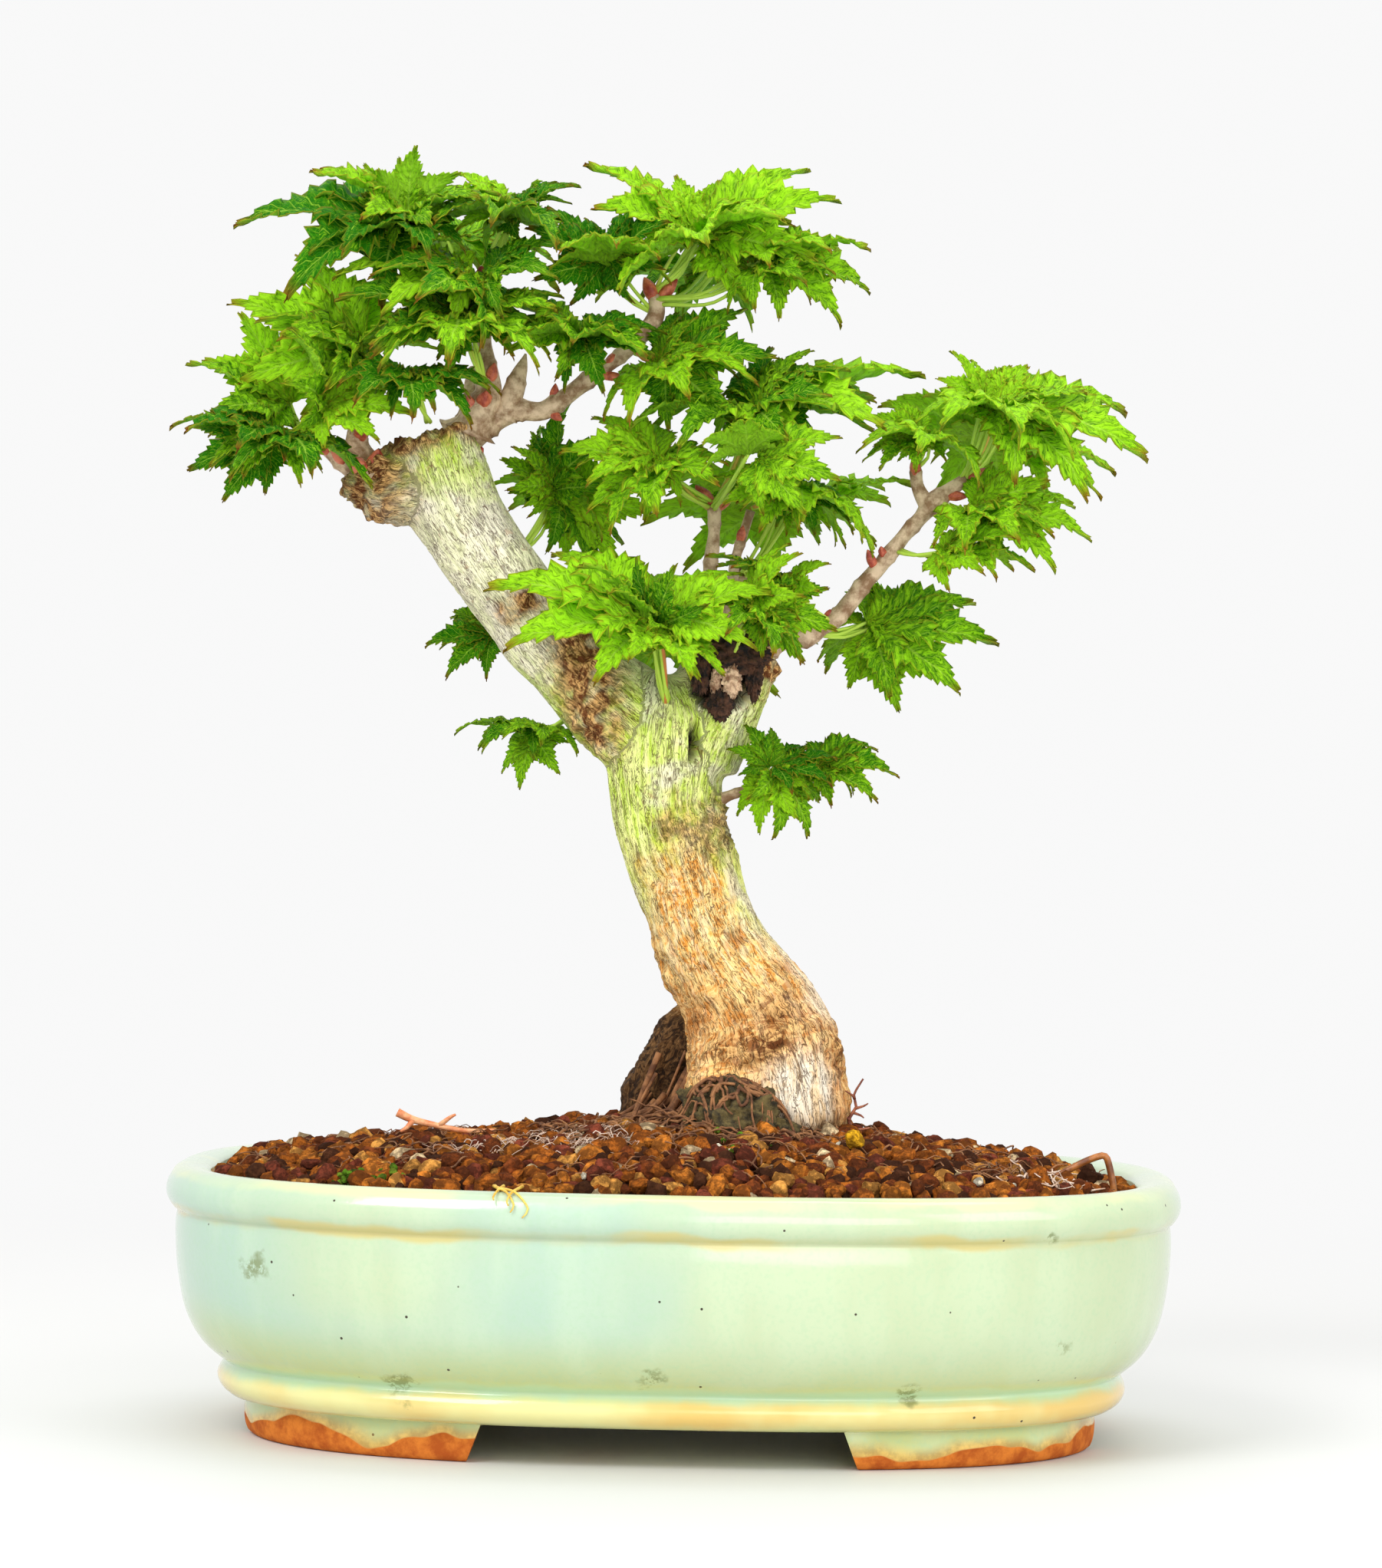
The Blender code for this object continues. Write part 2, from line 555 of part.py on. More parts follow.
def clear_blades(where, hub, tip, trees):
    """The blade turned, then shortened, each time it touches nothing already placed."""
    for size in (1.0, 0.9, 0.8, 0.7, 0.6):
        for roll in (0, 12, -12, 24, -24, 38, -38, 55, -55, 75, -75, 90):
            made = blade(where, hub, tip, math.radians(roll), size)
            own = tree_of(made)
            if not any(own.overlap(other) for other in trees):
                yield made
            else:
                bpy.data.objects.remove(made, do_unlink=True)


def volume_of(mesh):
    """The volume of one closed body, or nothing where the mesh is open or in pieces."""
    body = bmesh.new()
    body.from_mesh(mesh)
    body.verts.ensure_lookup_table()
    closed = all(len(edge.link_faces) == 2 for edge in body.edges)
    waiting = list(body.verts)[:1]
    reached = set(waiting)
    while waiting:
        for edge in waiting.pop().link_edges:
            for vertex in edge.verts:
                if vertex not in reached:
                    reached.add(vertex)
                    waiting.append(vertex)
    volume = body.calc_volume() if closed and len(reached) == len(body.verts) else 0.0
    body.free()
    return volume


def grow_blade(tuft, where, hub, tip, trees):
    """Join the first clear blade that makes one larger closed body with the tuft."""
    before = tuft.data
    least = volume_of(before)
    for leaf in clear_blades(where, hub, tip, trees):
        boolean(tuft, leaf, "UNION")
        if volume_of(tuft.data) > least:
            return True
        tuft.data = before
    return False


def clear_stalk(where, foot, hub, trees):
    """The leaf stalk from just off the wood to the hub."""
    for step in range(60):
        start = foot.lerp(hub, step / 80)
        made = tube("stalk", [(*start, PETIOLE_RADIUS), (*hub, PETIOLE_RADIUS)], where, 0)
        own = tree_of(made)
        if not any(own.overlap(other) for other in trees):
            return made
        bpy.data.objects.remove(made, do_unlink=True)
    return None


def clear_hub(name, hub, parts, trees):
    """The knot where the blades meet, moved away from the trunk until it is clear."""
    bpy.ops.mesh.primitive_ico_sphere_add(subdivisions=1, radius=HUB_RADIUS)
    tuft = bpy.context.object
    for old in list(tuft.users_collection):
        old.objects.unlink(tuft)
    parts.objects.link(tuft)
    tuft.name = name
    tuft.data.transform(Matrix.Translation(hub))
    nudge = Vector((0.0, -HUB_RADIUS if hub.y < REAR_LINE else HUB_RADIUS, 0.0))
    while any(tree_of(tuft).overlap(other) for other in trees):
        hub = hub + nudge
        tuft.data.transform(Matrix.Translation(nudge))
    return tuft, hub


def build_tuft(name, parts, scratch, trees):
    foot, hub, tips = TUFTS[name]
    foot = tree_point(foot)
    tuft, hub = clear_hub(name, tree_point(hub), parts, trees)
    stalk = clear_stalk(scratch, foot, hub, trees)
    if stalk:
        boolean(tuft, stalk, "UNION")
    else:
        print("no stalk on", name)
    for tip in tips:
        if not grow_blade(tuft, scratch, hub, tree_point(tip), trees):
            print("left out a blade of", name)
    return tuft


# ---------------------------------------------------------------- small things on the soil


def build_stick(parts):
    """A dry orange leaf stalk lying on the soil, left of the trunk."""
    lift = PETIOLE_RADIUS + 2 * GAP
    points = []
    for knots_left, x in zip((2, 1, 0), STALK_X):
        highest = max(soil_height(x + step, STALK_Y) for step in (-6.0, 0.0, 6.0))
        points.append((x, STALK_Y, highest + lift + STALK_RISE * knots_left, PETIOLE_RADIUS))
    return tube("dry_stalk", points, parts)


def clump_body(name, where, grow=0.0):
    bpy.ops.mesh.primitive_ico_sphere_add(subdivisions=2, radius=1.0)
    made = bpy.context.object
    for old in list(made.users_collection):
        old.objects.unlink(made)
    where.objects.link(made)
    made.name = name
    centre = TRUNK_FOOT + Vector(CLUMP_CENTRE)
    size = Matrix.Diagonal((*(half + grow for half in CLUMP_HALF_SIZE), 1.0))
    made.data.transform(Matrix.Translation(centre) @ size)
    return made


# ---------------------------------------------------------------- assembly


def finish(parts):
    """Metres, one material each, and round pieces shaded smooth."""
    slots = {
        "pot": "pot", "soil": "soil", "wood": "wood", "root_clump": "clump",
        "drain_mesh_left": "mesh", "drain_mesh_right": "mesh", "mesh_clip_left": "wire",
        "mesh_clip_right": "wire", "tie_wire": "wire", "dry_stalk": "stick",
    }
    made = {name: material(name) for name in COLOURS}
    for piece in parts.objects:
        piece.data.transform(Matrix.Diagonal((MM, MM, MM, 1.0)))
        own = made[slots.get(piece.name, "leaf")].copy()
        own.name = piece.name
        piece.data.materials.clear()
        piece.data.materials.append(own)
        if not piece.name.startswith("leaves"):
            piece.data.shade_smooth()
            piece.data.set_sharp_from_angle(angle=math.radians(40))


def main():
    clear_scene()
    parts = collection("maple_bonsai")
    scratch = collection("cutters")
    build_pot(parts, scratch)
    for side, sign in (("left", -1), ("right", 1)):
        x = sign * DRAIN_OFFSET
        build_drain_mesh("drain_mesh_" + side, x, parts, scratch)
        wire("mesh_clip_" + side, clip_route(x), CLIP_WIRE_RADIUS, parts)
    wire("tie_wire", tie_wire_route(), TIE_WIRE_RADIUS, parts)

    wood = build_wood("wood", parts)
    wood_cutter = build_wood("wood_cutter", scratch, GAP)
    wood_cutter.hide_render = True
    wood_cutter.display_type = "WIRE"

    clump = clump_body("root_clump", parts)
    boolean(clump, wood_cutter, "DIFFERENCE", keep_tool=True)

    pockets = [clump_body("clump_pocket", scratch, GAP),
               wire("tie_pocket", tie_wire_route(), TIE_WIRE_RADIUS, scratch, GAP)]
    half = MESH_SIZE / 2 + GAP
    for sign in (-1, 1):
        x = sign * DRAIN_OFFSET
        pockets.append(block("mesh_pocket", (x - half, -half, SOIL_FLOOR - 1.0),
                             (x + half, half, SOIL_FLOOR + MESH_THICK + MESH_HEADROOM), scratch))
    build_soil(parts, wood_cutter, pockets)
    build_stick(parts)

    trees = [tree_of(wood_cutter)]
    for name in TUFTS:
        trees.append(tree_of(build_tuft(name, parts, scratch, trees)))
    finish(parts)


main()
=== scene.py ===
"""The looks of a small maple bonsai in an oval celadon pot.

Lengths are written in millimetres and turned to metres as each piece is
finished.  +Z is up and -Y is the display front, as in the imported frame.
"""
import math
import random

import bmesh
import bpy
import numpy as np
from mathutils import Matrix, Vector, noise
from mathutils.kdtree import KDTree


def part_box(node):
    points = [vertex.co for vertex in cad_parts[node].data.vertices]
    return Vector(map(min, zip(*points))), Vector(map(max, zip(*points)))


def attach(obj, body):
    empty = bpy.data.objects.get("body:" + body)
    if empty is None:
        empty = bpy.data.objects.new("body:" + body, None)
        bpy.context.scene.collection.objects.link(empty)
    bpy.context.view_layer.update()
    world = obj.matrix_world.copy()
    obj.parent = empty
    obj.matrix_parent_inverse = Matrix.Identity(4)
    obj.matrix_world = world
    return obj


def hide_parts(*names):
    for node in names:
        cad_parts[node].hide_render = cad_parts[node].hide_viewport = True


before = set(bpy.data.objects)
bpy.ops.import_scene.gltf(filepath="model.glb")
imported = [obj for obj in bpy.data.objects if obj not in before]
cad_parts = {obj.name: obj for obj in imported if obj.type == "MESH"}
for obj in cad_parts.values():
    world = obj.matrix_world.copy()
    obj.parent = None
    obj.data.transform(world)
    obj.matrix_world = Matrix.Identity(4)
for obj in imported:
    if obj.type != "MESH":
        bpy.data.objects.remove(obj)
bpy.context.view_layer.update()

MM = 0.001
POT_LOW, POT_HIGH = (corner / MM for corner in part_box("pot"))
HALF_LENGTH = POT_HIGH.x
HALF_WIDTH = POT_HIGH.y
RIM_TOP = POT_HIGH.z
FOOT_TOP = 9.3
RIM_WIDTH = 11.0
TRUNK_FOOT = Vector((22.0, 0.0, RIM_TOP + 15.0))
SOIL_FLOOR = 16.3        # top of the pot's floor
DRAIN_OFFSET = 50.0
DRAIN_RADIUS = 8.0
WIRE_HOLES = (66.0, 86.0)
WIRE_LINE = -20.0


# ---------------------------------------------------------------- camera and stage

CAMERA_DISTANCE = 1250.0
CAMERA_HEIGHT = 160.0
CAMERA_ASIDE = 2.3
CAMERA_TURN = math.radians(1.5)
CAMERA_ROLL = math.radians(1.0)
CAMERA_LENS = 115.8
SURROUND = 0.945         # brightness of the white room
FLOOR_FADE = (0.20, 0.75)  # metres from the middle over which the floor turns white
MIDDLE = (0.0, 0.0, 0.15)
LIGHTS = [  # name, place, aim, size in metres, watts
    ("key", (-0.75, -1.0, 1.15), MIDDLE, (0.7, 0.7), 13.0),
    ("fill", (1.1, -0.9, 0.7), MIDDLE, (0.9, 0.9), 6.5),
    ("front", (0.3, -1.25, 0.3), (0.0, 0.0, 0.17), (0.6, 0.6), 3.4),
    ("top", (0.1, 0.25, 1.3), MIDDLE, (0.9, 0.6), 4.0),
]


def place_camera():
    data = bpy.data.cameras.new("camera")
    data.lens = CAMERA_LENS
    data.sensor_width = 36.0
    data.clip_start = 0.05
    camera = bpy.data.objects.new("camera", data)
    bpy.context.scene.collection.objects.link(camera)
    spot = Vector((CAMERA_ASIDE, -CAMERA_DISTANCE, CAMERA_HEIGHT)) * MM
    turn = Matrix.Rotation(CAMERA_TURN, 4, "Z")
    upright = Matrix.Rotation(math.pi / 2, 4, "X")
    roll = Matrix.Rotation(CAMERA_ROLL, 4, "Z")
    camera.matrix_world = turn @ Matrix.Translation(spot) @ upright @ roll
    bpy.context.scene.camera = camera


def area_light(name, spot, aim, size, power):
    data = bpy.data.lights.new(name, "AREA")
    data.shape = "RECTANGLE"
    data.size, data.size_y = size
    data.energy = power
    light = bpy.data.objects.new(name, data)
    bpy.context.scene.collection.objects.link(light)
    light.location = spot
    direction = Vector(aim) - Vector(spot)
    light.rotation_euler = direction.to_track_quat("-Z", "Y").to_euler()


def light_studio():
    bpy.context.scene.view_settings.view_transform = "Standard"
    world = bpy.data.worlds.new("studio")
    bpy.context.scene.world = world
    world.use_nodes = True
    background = world.node_tree.nodes["Background"]
    background.inputs["Color"].default_value = (1.0, 1.0, 1.0, 1.0)
    background.inputs["Strength"].default_value = SURROUND
    for light in LIGHTS:
        area_light(*light)


def lay_floor():
    """A pale floor that fades into the white surroundings away from the pot."""
    sweep = bmesh.new()
    bmesh.ops.create_grid(sweep, x_segments=1, y_segments=1, size=6.0)
    mesh = bpy.data.meshes.new("floor")
    sweep.to_mesh(mesh)
    sweep.free()
    floor = bpy.data.objects.new("floor", mesh)
    bpy.context.scene.collection.objects.link(floor)
    paint = Paint("floor_white", 0.6)
    paint.set("Base Color", (0.69, 0.69, 0.68, 1.0))
    glow = paint.node("ShaderNodeEmission")
    glow.inputs["Strength"].default_value = SURROUND
    from_middle = paint.length(paint.coords())
    paint.blend_in(paint.ramp(from_middle, *FLOOR_FADE), glow.outputs["Emission"])
    mesh.materials.append(paint.material)


# ---------------------------------------------------------------- shader helpers


class Paint:
    """A material under construction, with short calls for its nodes."""

    def __init__(self, name, roughness=0.6):
        self.material = bpy.data.materials.new(name)
        self.material.use_nodes = True
        self.tree = self.material.node_tree
        self.shader = self.tree.nodes["Principled BSDF"]
        self.set("Roughness", roughness)

    def node(self, kind, **settings):
        made = self.tree.nodes.new(kind)
        for key, value in settings.items():
            setattr(made, key, value)
        return made

    def join(self, source, target):
        if hasattr(source, "is_output"):
            self.tree.links.new(source, target)
        else:
            target.default_value = source

    def set(self, name, value):
        self.join(value, self.shader.inputs[name])

    def coords(self, scale=(1.0, 1.0, 1.0), attribute=None):
        """Object coordinates, or a vector attribute of the mesh, scaled per axis."""
        if attribute:
            source = self.attribute(attribute)["Vector"]
        else:
            source = self.node("ShaderNodeTexCoord").outputs["Object"]
        mapping = self.node("ShaderNodeMapping")
        self.join(source, mapping.inputs["Vector"])
        mapping.inputs["Scale"].default_value = scale
        return mapping.outputs["Vector"]

    def noise(self, scale, detail=3.0, rough=0.5, coords=None, distortion=0.0):
        made = self.node("ShaderNodeTexNoise")
        self.join(coords or self.coords(), made.inputs["Vector"])
        made.inputs["Scale"].default_value = scale
        made.inputs["Detail"].default_value = detail
        made.inputs["Roughness"].default_value = rough
        made.inputs["Distortion"].default_value = distortion
        return made.outputs["Fac"]

    def cells(self, scale, feature="F1"):
        made = self.node("ShaderNodeTexVoronoi", feature=feature)
        self.join(self.coords(), made.inputs["Vector"])
        made.inputs["Scale"].default_value = scale
        return made.outputs["Distance"]

    def ramp(self, value, low, high, out_low=0.0, out_high=1.0):
        made = self.node("ShaderNodeMapRange", interpolation_type="SMOOTHSTEP")
        self.join(value, made.inputs["Value"])
        made.inputs["From Min"].default_value = low
        made.inputs["From Max"].default_value = high
        made.inputs["To Min"].default_value = out_low
        made.inputs["To Max"].default_value = out_high
        return made.outputs["Result"]

    def math(self, operation, first, second=0.0):
        made = self.node("ShaderNodeMath", operation=operation)
        self.join(first, made.inputs[0])
        self.join(second, made.inputs[1])
        return made.outputs[0]

    def times(self, first, second):
        return self.math("MULTIPLY", first, second)

    def plus(self, first, second):
        return self.math("ADD", first, second)

    def minus(self, first, second):
        return self.math("SUBTRACT", first, second)

    def mix(self, share, first, second):
        made = self.node("ShaderNodeMix", data_type="RGBA")
        self.join(share, made.inputs["Factor"])
        for value, socket in ((first, made.inputs["A"]), (second, made.inputs["B"])):
            self.join((*value, 1.0) if isinstance(value, tuple) else value, socket)
        return made.outputs["Result"]

    def layer(self, base, *coats):
        """The base colour under coats of (mask, colour), the last one on top."""
        for mask, colour in coats:
            base = self.mix(mask, base, colour)
        return base

    def split(self, vector):
        made = self.node("ShaderNodeSeparateXYZ")
        self.join(vector, made.inputs[0])
        return made.outputs

    def attribute(self, name):
        return self.node("ShaderNodeAttribute", attribute_name=name).outputs

    def length(self, vector):
        made = self.node("ShaderNodeVectorMath", operation="LENGTH")
        self.join(vector, made.inputs[0])
        return made.outputs["Value"]

    def combine(self, x, y, z=0.0):
        made = self.node("ShaderNodeCombineXYZ")
        for value, axis in ((x, "X"), (y, "Y"), (z, "Z")):
            self.join(value, made.inputs[axis])
        return made.outputs["Vector"]

    def blend_in(self, share, other):
        """Give this share of the surface to another shader."""
        made = self.node("ShaderNodeMixShader")
        self.join(share, made.inputs["Fac"])
        self.join(self.shader.outputs["BSDF"], made.inputs[1])
        self.join(other, made.inputs[2])
        self.join(made.outputs["Shader"], self.tree.nodes["Material Output"].inputs["Surface"])

    def bump(self, height, strength, distance):
        made = self.node("ShaderNodeBump")
        self.join(height, made.inputs["Height"])
        made.inputs["Strength"].default_value = strength
        made.inputs["Distance"].default_value = distance
        return made.outputs["Normal"]


# x, z and radius of the stains on the glaze
GLAZE_MARKS = [(-96.0, 45.0, 4.0), (90.0, 55.5, 1.4), (-61.0, 18.5, 4.5), (93.0, 29.5, 2.6),
               (-2.0, 22.0, 3.2), (57.0, 18.5, 3.4)]


def glaze_paint():
    """Celadon glaze, ochre where it runs thin, over red clay that is bare under the feet."""
    paint = Paint("celadon_glaze")
    height = paint.split(paint.coords())[2]
    broad = paint.noise(9.0, 3.0)
    runs = paint.noise(60.0, 3.0, coords=paint.coords((1.0, 1.0, 0.25)))
    fine = paint.noise(800.0, 3.0)
    blue_mint, green_mint, olive = (0.40, 0.55, 0.44), (0.49, 0.58, 0.36), (0.53, 0.58, 0.20)
    mint = paint.mix(paint.ramp(broad, 0.40, 0.62), blue_mint, green_mint)
    wavy = paint.plus(height, paint.times(paint.minus(broad, 0.5), 0.030))
    mint = paint.mix(paint.ramp(wavy, 34.0 * MM, 17.0 * MM, 0.0, 0.75), mint, olive)
    mint = paint.mix(paint.ramp(runs, 0.42, 0.66, 0.0, 0.3), mint, (0.58, 0.70, 0.48))
    mint = paint.mix(paint.ramp(fine, 0.45, 0.70, 0.0, 0.22), mint, (0.36, 0.56, 0.34))
    lifted = paint.plus(height, paint.times(paint.minus(runs, 0.5), 0.005))
    patchy = paint.ramp(paint.noise(24.0, 4.0), 0.40, 0.62)

    def band(centre, half):
        away = paint.math("ABSOLUTE", paint.minus(lifted, centre * MM))
        return paint.ramp(away, half * MM, half * 0.3 * MM)

    rim_edge = paint.times(band(RIM_TOP - 10.0, 2.2), paint.ramp(patchy, 0.0, 1.0, 0.15, 0.75))
    rim_top = paint.times(band(RIM_TOP - 0.5, 2.4), paint.ramp(patchy, 0.0, 1.0, 0.2, 0.7))
    notch = paint.times(band(FOOT_TOP + 8.2, 2.4), 0.55)
    bead = paint.times(band(FOOT_TOP + 3.6, 4.8), 0.85)
    bead_tone = paint.mix(patchy, (0.76, 0.70, 0.30), (0.76, 0.48, 0.12))
    colour = paint.layer(mint, (rim_top, (0.66, 0.68, 0.36)), (rim_edge, (0.60, 0.48, 0.14)),
                         (notch, (0.42, 0.66, 0.46)), (bead, bead_tone))
    # pin-holes and green dirt
    specks = paint.ramp(paint.cells(130.0), 0.055, 0.035)
    sideways = paint.split(paint.coords())[0]
    streaky = paint.ramp(paint.noise(420.0, 4.0, 0.7), 0.42, 0.54)
    wobble = paint.minus(paint.noise(170.0, 3.0, 0.6), 0.5)
    smudge = 0.0
    for x, z, radius in GLAZE_MARKS:
        reach = paint.length(paint.combine(paint.minus(sideways, x * MM), paint.minus(height, z * MM)))
        ragged = paint.plus(reach, paint.times(wobble, 3.0 * radius * MM))
        mark = paint.ramp(ragged, radius * MM, radius * 0.2 * MM)
        smudge = paint.math("MAXIMUM", smudge, mark)
    front = paint.ramp(paint.split(paint.coords())[1], 0.0, -20.0 * MM)
    smudge = paint.times(paint.times(smudge, streaky), front)
    colour = paint.layer(colour, (paint.times(smudge, 0.7), (0.14, 0.17, 0.03)),
                         (specks, (0.035, 0.022, 0.010)))
    # bare clay on the lower part of the feet, under a wavy ochre edge
    drip = paint.times(paint.minus(paint.noise(38.0, 2.0), 0.5), 0.018)
    line = paint.plus(height, drip)
    bare = paint.ramp(line, 5.8 * MM, 5.2 * MM)
    drip_edge = paint.times(paint.ramp(line, 9.0 * MM, 5.8 * MM), 0.9)
    mottle = paint.ramp(paint.noise(150.0, 5.0, 0.7), 0.35, 0.65)
    clay = paint.mix(mottle, (0.40, 0.085, 0.014), (0.66, 0.20, 0.030))
    crust = paint.mix(mottle, (0.80, 0.50, 0.11), (0.44, 0.25, 0.05))
    colour = paint.layer(colour, (drip_edge, crust), (bare, clay))
    paint.set("Base Color", colour)
    paint.set("Roughness", paint.ramp(bare, 0.0, 1.0, 0.16, 0.85))
    paint.set("Specular IOR Level", paint.ramp(bare, 0.0, 1.0, 0.5, 0.1))
    paint.set("Coat Weight", paint.ramp(bare, 0.0, 1.0, 0.25, 0.0))
    paint.set("Coat Roughness", 0.06)
    ripples = paint.plus(paint.times(runs, 0.6), paint.times(fine, 0.12))
    paint.set("Normal", paint.bump(ripples, 0.25, 0.0012))
    return paint.material


def bark_paint():
    """Pale green young bark, tan old bark, brown callus and black dead wood."""
    paint = Paint("maple_bark", 0.7)
    paint.set("Specular IOR Level", 0.15)
    zone = paint.attribute("zone")
    tan, callus, root = paint.split(zone["Vector"])
    dead = zone["Alpha"]
    grain = paint.coords(attribute="grain")

    def cracks(across, along, width):
        stretched = paint.coords((across, across, along), "grain")
        wave = paint.noise(1.0, 3.0, 0.6, coords=stretched, distortion=1.1)
        away = paint.math("ABSOLUTE", paint.minus(wave, 0.5))
        return paint.ramp(away, width, width * 0.15)

    patchy = paint.ramp(paint.noise(0.17, 3.0, 0.6, coords=grain), 0.36, 0.58)
    long_cracks = paint.times(cracks(0.55, 0.075, 0.021), patchy)
    short_cracks = paint.times(cracks(1.1, 0.16, 0.028), 0.8)
    fissure = paint.math("MAXIMUM", long_cracks, short_cracks)
    streak = paint.noise(1.0, 5.0, 0.7, coords=paint.coords((0.55, 0.55, 0.09), "grain"), distortion=0.8)
    blotch = paint.noise(0.085, 4.0, 0.6, coords=grain)
    curls = paint.noise(0.34, 4.0, 0.66, coords=grain, distortion=1.6)
    chips = paint.noise(1.0, 4.0, 0.65, coords=paint.coords((0.50, 0.50, 0.11), "grain"), distortion=1.0)
    flecks = paint.ramp(chips, 0.52, 0.58)

    young = paint.mix(paint.ramp(streak, 0.36, 0.60), (0.60, 0.82, 0.08), (0.94, 1.0, 0.36))
    young = paint.mix(paint.ramp(blotch, 0.46, 0.64, 0.0, 0.7), young, (1.0, 0.93, 0.72))
    height = paint.split(paint.coords())[2]
    along_limb = paint.times(paint.ramp(height, 180.0 * MM, 194.0 * MM),
                            paint.ramp(height, 240.0 * MM, 224.0 * MM, 0.0, 0.65))
    young = paint.mix(along_limb, young, paint.mix(streak, (0.94, 0.78, 0.62), (1.0, 0.96, 0.88)))
    chalky = paint.mix(paint.ramp(streak, 0.36, 0.60), (0.90, 0.64, 0.36), (1.0, 0.90, 0.72))
    young = paint.mix(paint.ramp(height, 112.0 * MM, 140.0 * MM), chalky, young)
    young = paint.mix(paint.ramp(curls, 0.61, 0.68, 0.0, 0.5), young, (0.62, 0.36, 0.20))
    mixed = paint.times(paint.plus(curls, streak), 0.5)
    old = paint.mix(paint.ramp(mixed, 0.40, 0.56), (0.86, 0.34, 0.05), (1.0, 0.72, 0.29))
    old = paint.mix(paint.times(flecks, 0.4), old, (1.0, 0.88, 0.58))
    old = paint.mix(paint.ramp(blotch, 0.53, 0.68, 0.0, 0.85), old, (0.50, 0.19, 0.04))
    foot_orange = paint.mix(paint.ramp(curls, 0.42, 0.60), (0.66, 0.24, 0.05), (1.0, 0.58, 0.22))
    old = paint.mix(paint.ramp(height, 122.0 * MM, 102.0 * MM, 0.0, 0.55), old, foot_orange)
    scab = paint.mix(paint.ramp(curls, 0.42, 0.58), (0.17, 0.055, 0.015), (0.74, 0.42, 0.15))
    # painted shade: the low root behind the trunk is painted near black as if in shadow; below the soil the
    # bark is dark with earth
    buried_and_shaded_root = paint.mix(paint.ramp(curls, 0.4, 0.62), (0.022, 0.011, 0.005), (0.22, 0.11, 0.040))
    char = paint.mix(paint.ramp(curls, 0.45, 0.70), (0.006, 0.004, 0.003), (0.16, 0.080, 0.045))
    paint.set("Base Color", paint.layer(young, (tan, old), (callus, scab), (root, buried_and_shaded_root),
                                        (paint.times(fissure, 0.85), (0.10, 0.038, 0.012)), (dead, char)))
    relief = paint.minus(paint.plus(streak, curls), fissure)
    paint.set("Normal", paint.bump(relief, 0.75, 0.0009))
    return paint.material


LEAF_GLOW = 0.34         # share of the light that shines through a blade


def leaf_paint(name, deep, bright, underside=False):
    """Leaf skin: veins, crinkles and browned edges follow the blade's own (along, across) map; the crinkles
    carry painted shade in their hollows and beside the veins, and painted highlights on their ridges.
    """
    paint = Paint(name, 0.45)
    along_across = paint.node("ShaderNodeUVMap", uv_map="blade").outputs["UV"]
    along, across = paint.split(along_across)[:2]
    off_midrib = paint.math("ABSOLUTE", across)
    lightness, autumn = paint.split(paint.attribute("tone")["Vector"])[:2]
    midrib = paint.ramp(off_midrib, 0.07, 0.02)
    slant = paint.minus(along, paint.times(off_midrib, 0.20))
    wave = paint.math("PINGPONG", paint.times(slant, 9.0), 0.5)
    vein = paint.times(paint.ramp(wave, 0.07, 0.015), paint.ramp(off_midrib, 0.95, 0.6))
    # fine crinkles that run with the side veins; they also steer painted shade and painted highlights in the
    # skin's colour
    combed = paint.combine(paint.times(slant, 42.0), paint.times(across, 5.0), paint.times(lightness, 90.0))
    crinkle = paint.noise(1.0, 4.0, 0.6, coords=combed, distortion=0.9)
    patch = paint.noise(120.0, 4.0, 0.65)
    net = paint.ramp(paint.cells(520.0, feature="DISTANCE_TO_EDGE"), 0.06, 0.0)
    share = paint.plus(paint.times(crinkle, 0.95), paint.times(patch, 0.65))
    share = paint.plus(share, paint.times(wave, 0.35))
    share = paint.plus(share, paint.minus(lightness, 0.90))
    skin = paint.mix(paint.ramp(share, 0.22, 0.72), deep, bright)
    # painted light: a painted highlight on the crinkles' ridges, painted shade in their hollows and beside
    # the side veins
    ridge = paint.ramp(crinkle, 0.57, 0.66)
    crinkle_painted_shade = paint.ramp(crinkle, 0.47, 0.39)
    painted_shade_beside_vein = paint.times(paint.ramp(wave, 0.22, 0.05), paint.ramp(off_midrib, 0.95, 0.6))
    edge = paint.times(paint.ramp(off_midrib, 0.90, 1.0), autumn)
    tip = paint.times(paint.ramp(along, 0.86, 0.99), autumn)
    # the first three rows are painted shade and painted highlight; the rest are the leaf's own veins and
    # browned edges
    for mask, strength, colour in (
            (crinkle_painted_shade, 0.55, (0.020, 0.15, 0.002)), (painted_shade_beside_vein, 0.35, (0.020, 0.16, 0.002)),
            (ridge, 0.45, (0.60, 0.96, 0.05)), (net, 0.25, (0.40, 0.78, 0.02)),
            (vein, 0.55, (0.50, 0.86, 0.06)), (midrib, 0.60, (0.60, 0.92, 0.10)),
            (edge, 0.7, (0.46, 0.36, 0.02)), (tip, 0.9, (0.46, 0.12, 0.02))):
        skin = paint.mix(paint.times(mask, strength), skin, colour)
    if underside:
        skin = paint.mix(0.35, skin, (0.48, 0.84, 0.06))
    paint.set("Base Color", skin)
    relief = paint.plus(paint.times(wave, 1.4), paint.times(crinkle, 1.6))
    relief = paint.plus(relief, paint.times(patch, 0.6))
    paint.set("Normal", paint.bump(relief, 0.7, 0.0008))
    paint.set("Specular IOR Level", 0.10)
    glow = paint.node("ShaderNodeBsdfTranslucent")
    paint.join(skin, glow.inputs["Color"])
    paint.blend_in(LEAF_GLOW, glow.outputs["BSDF"])
    return paint.material


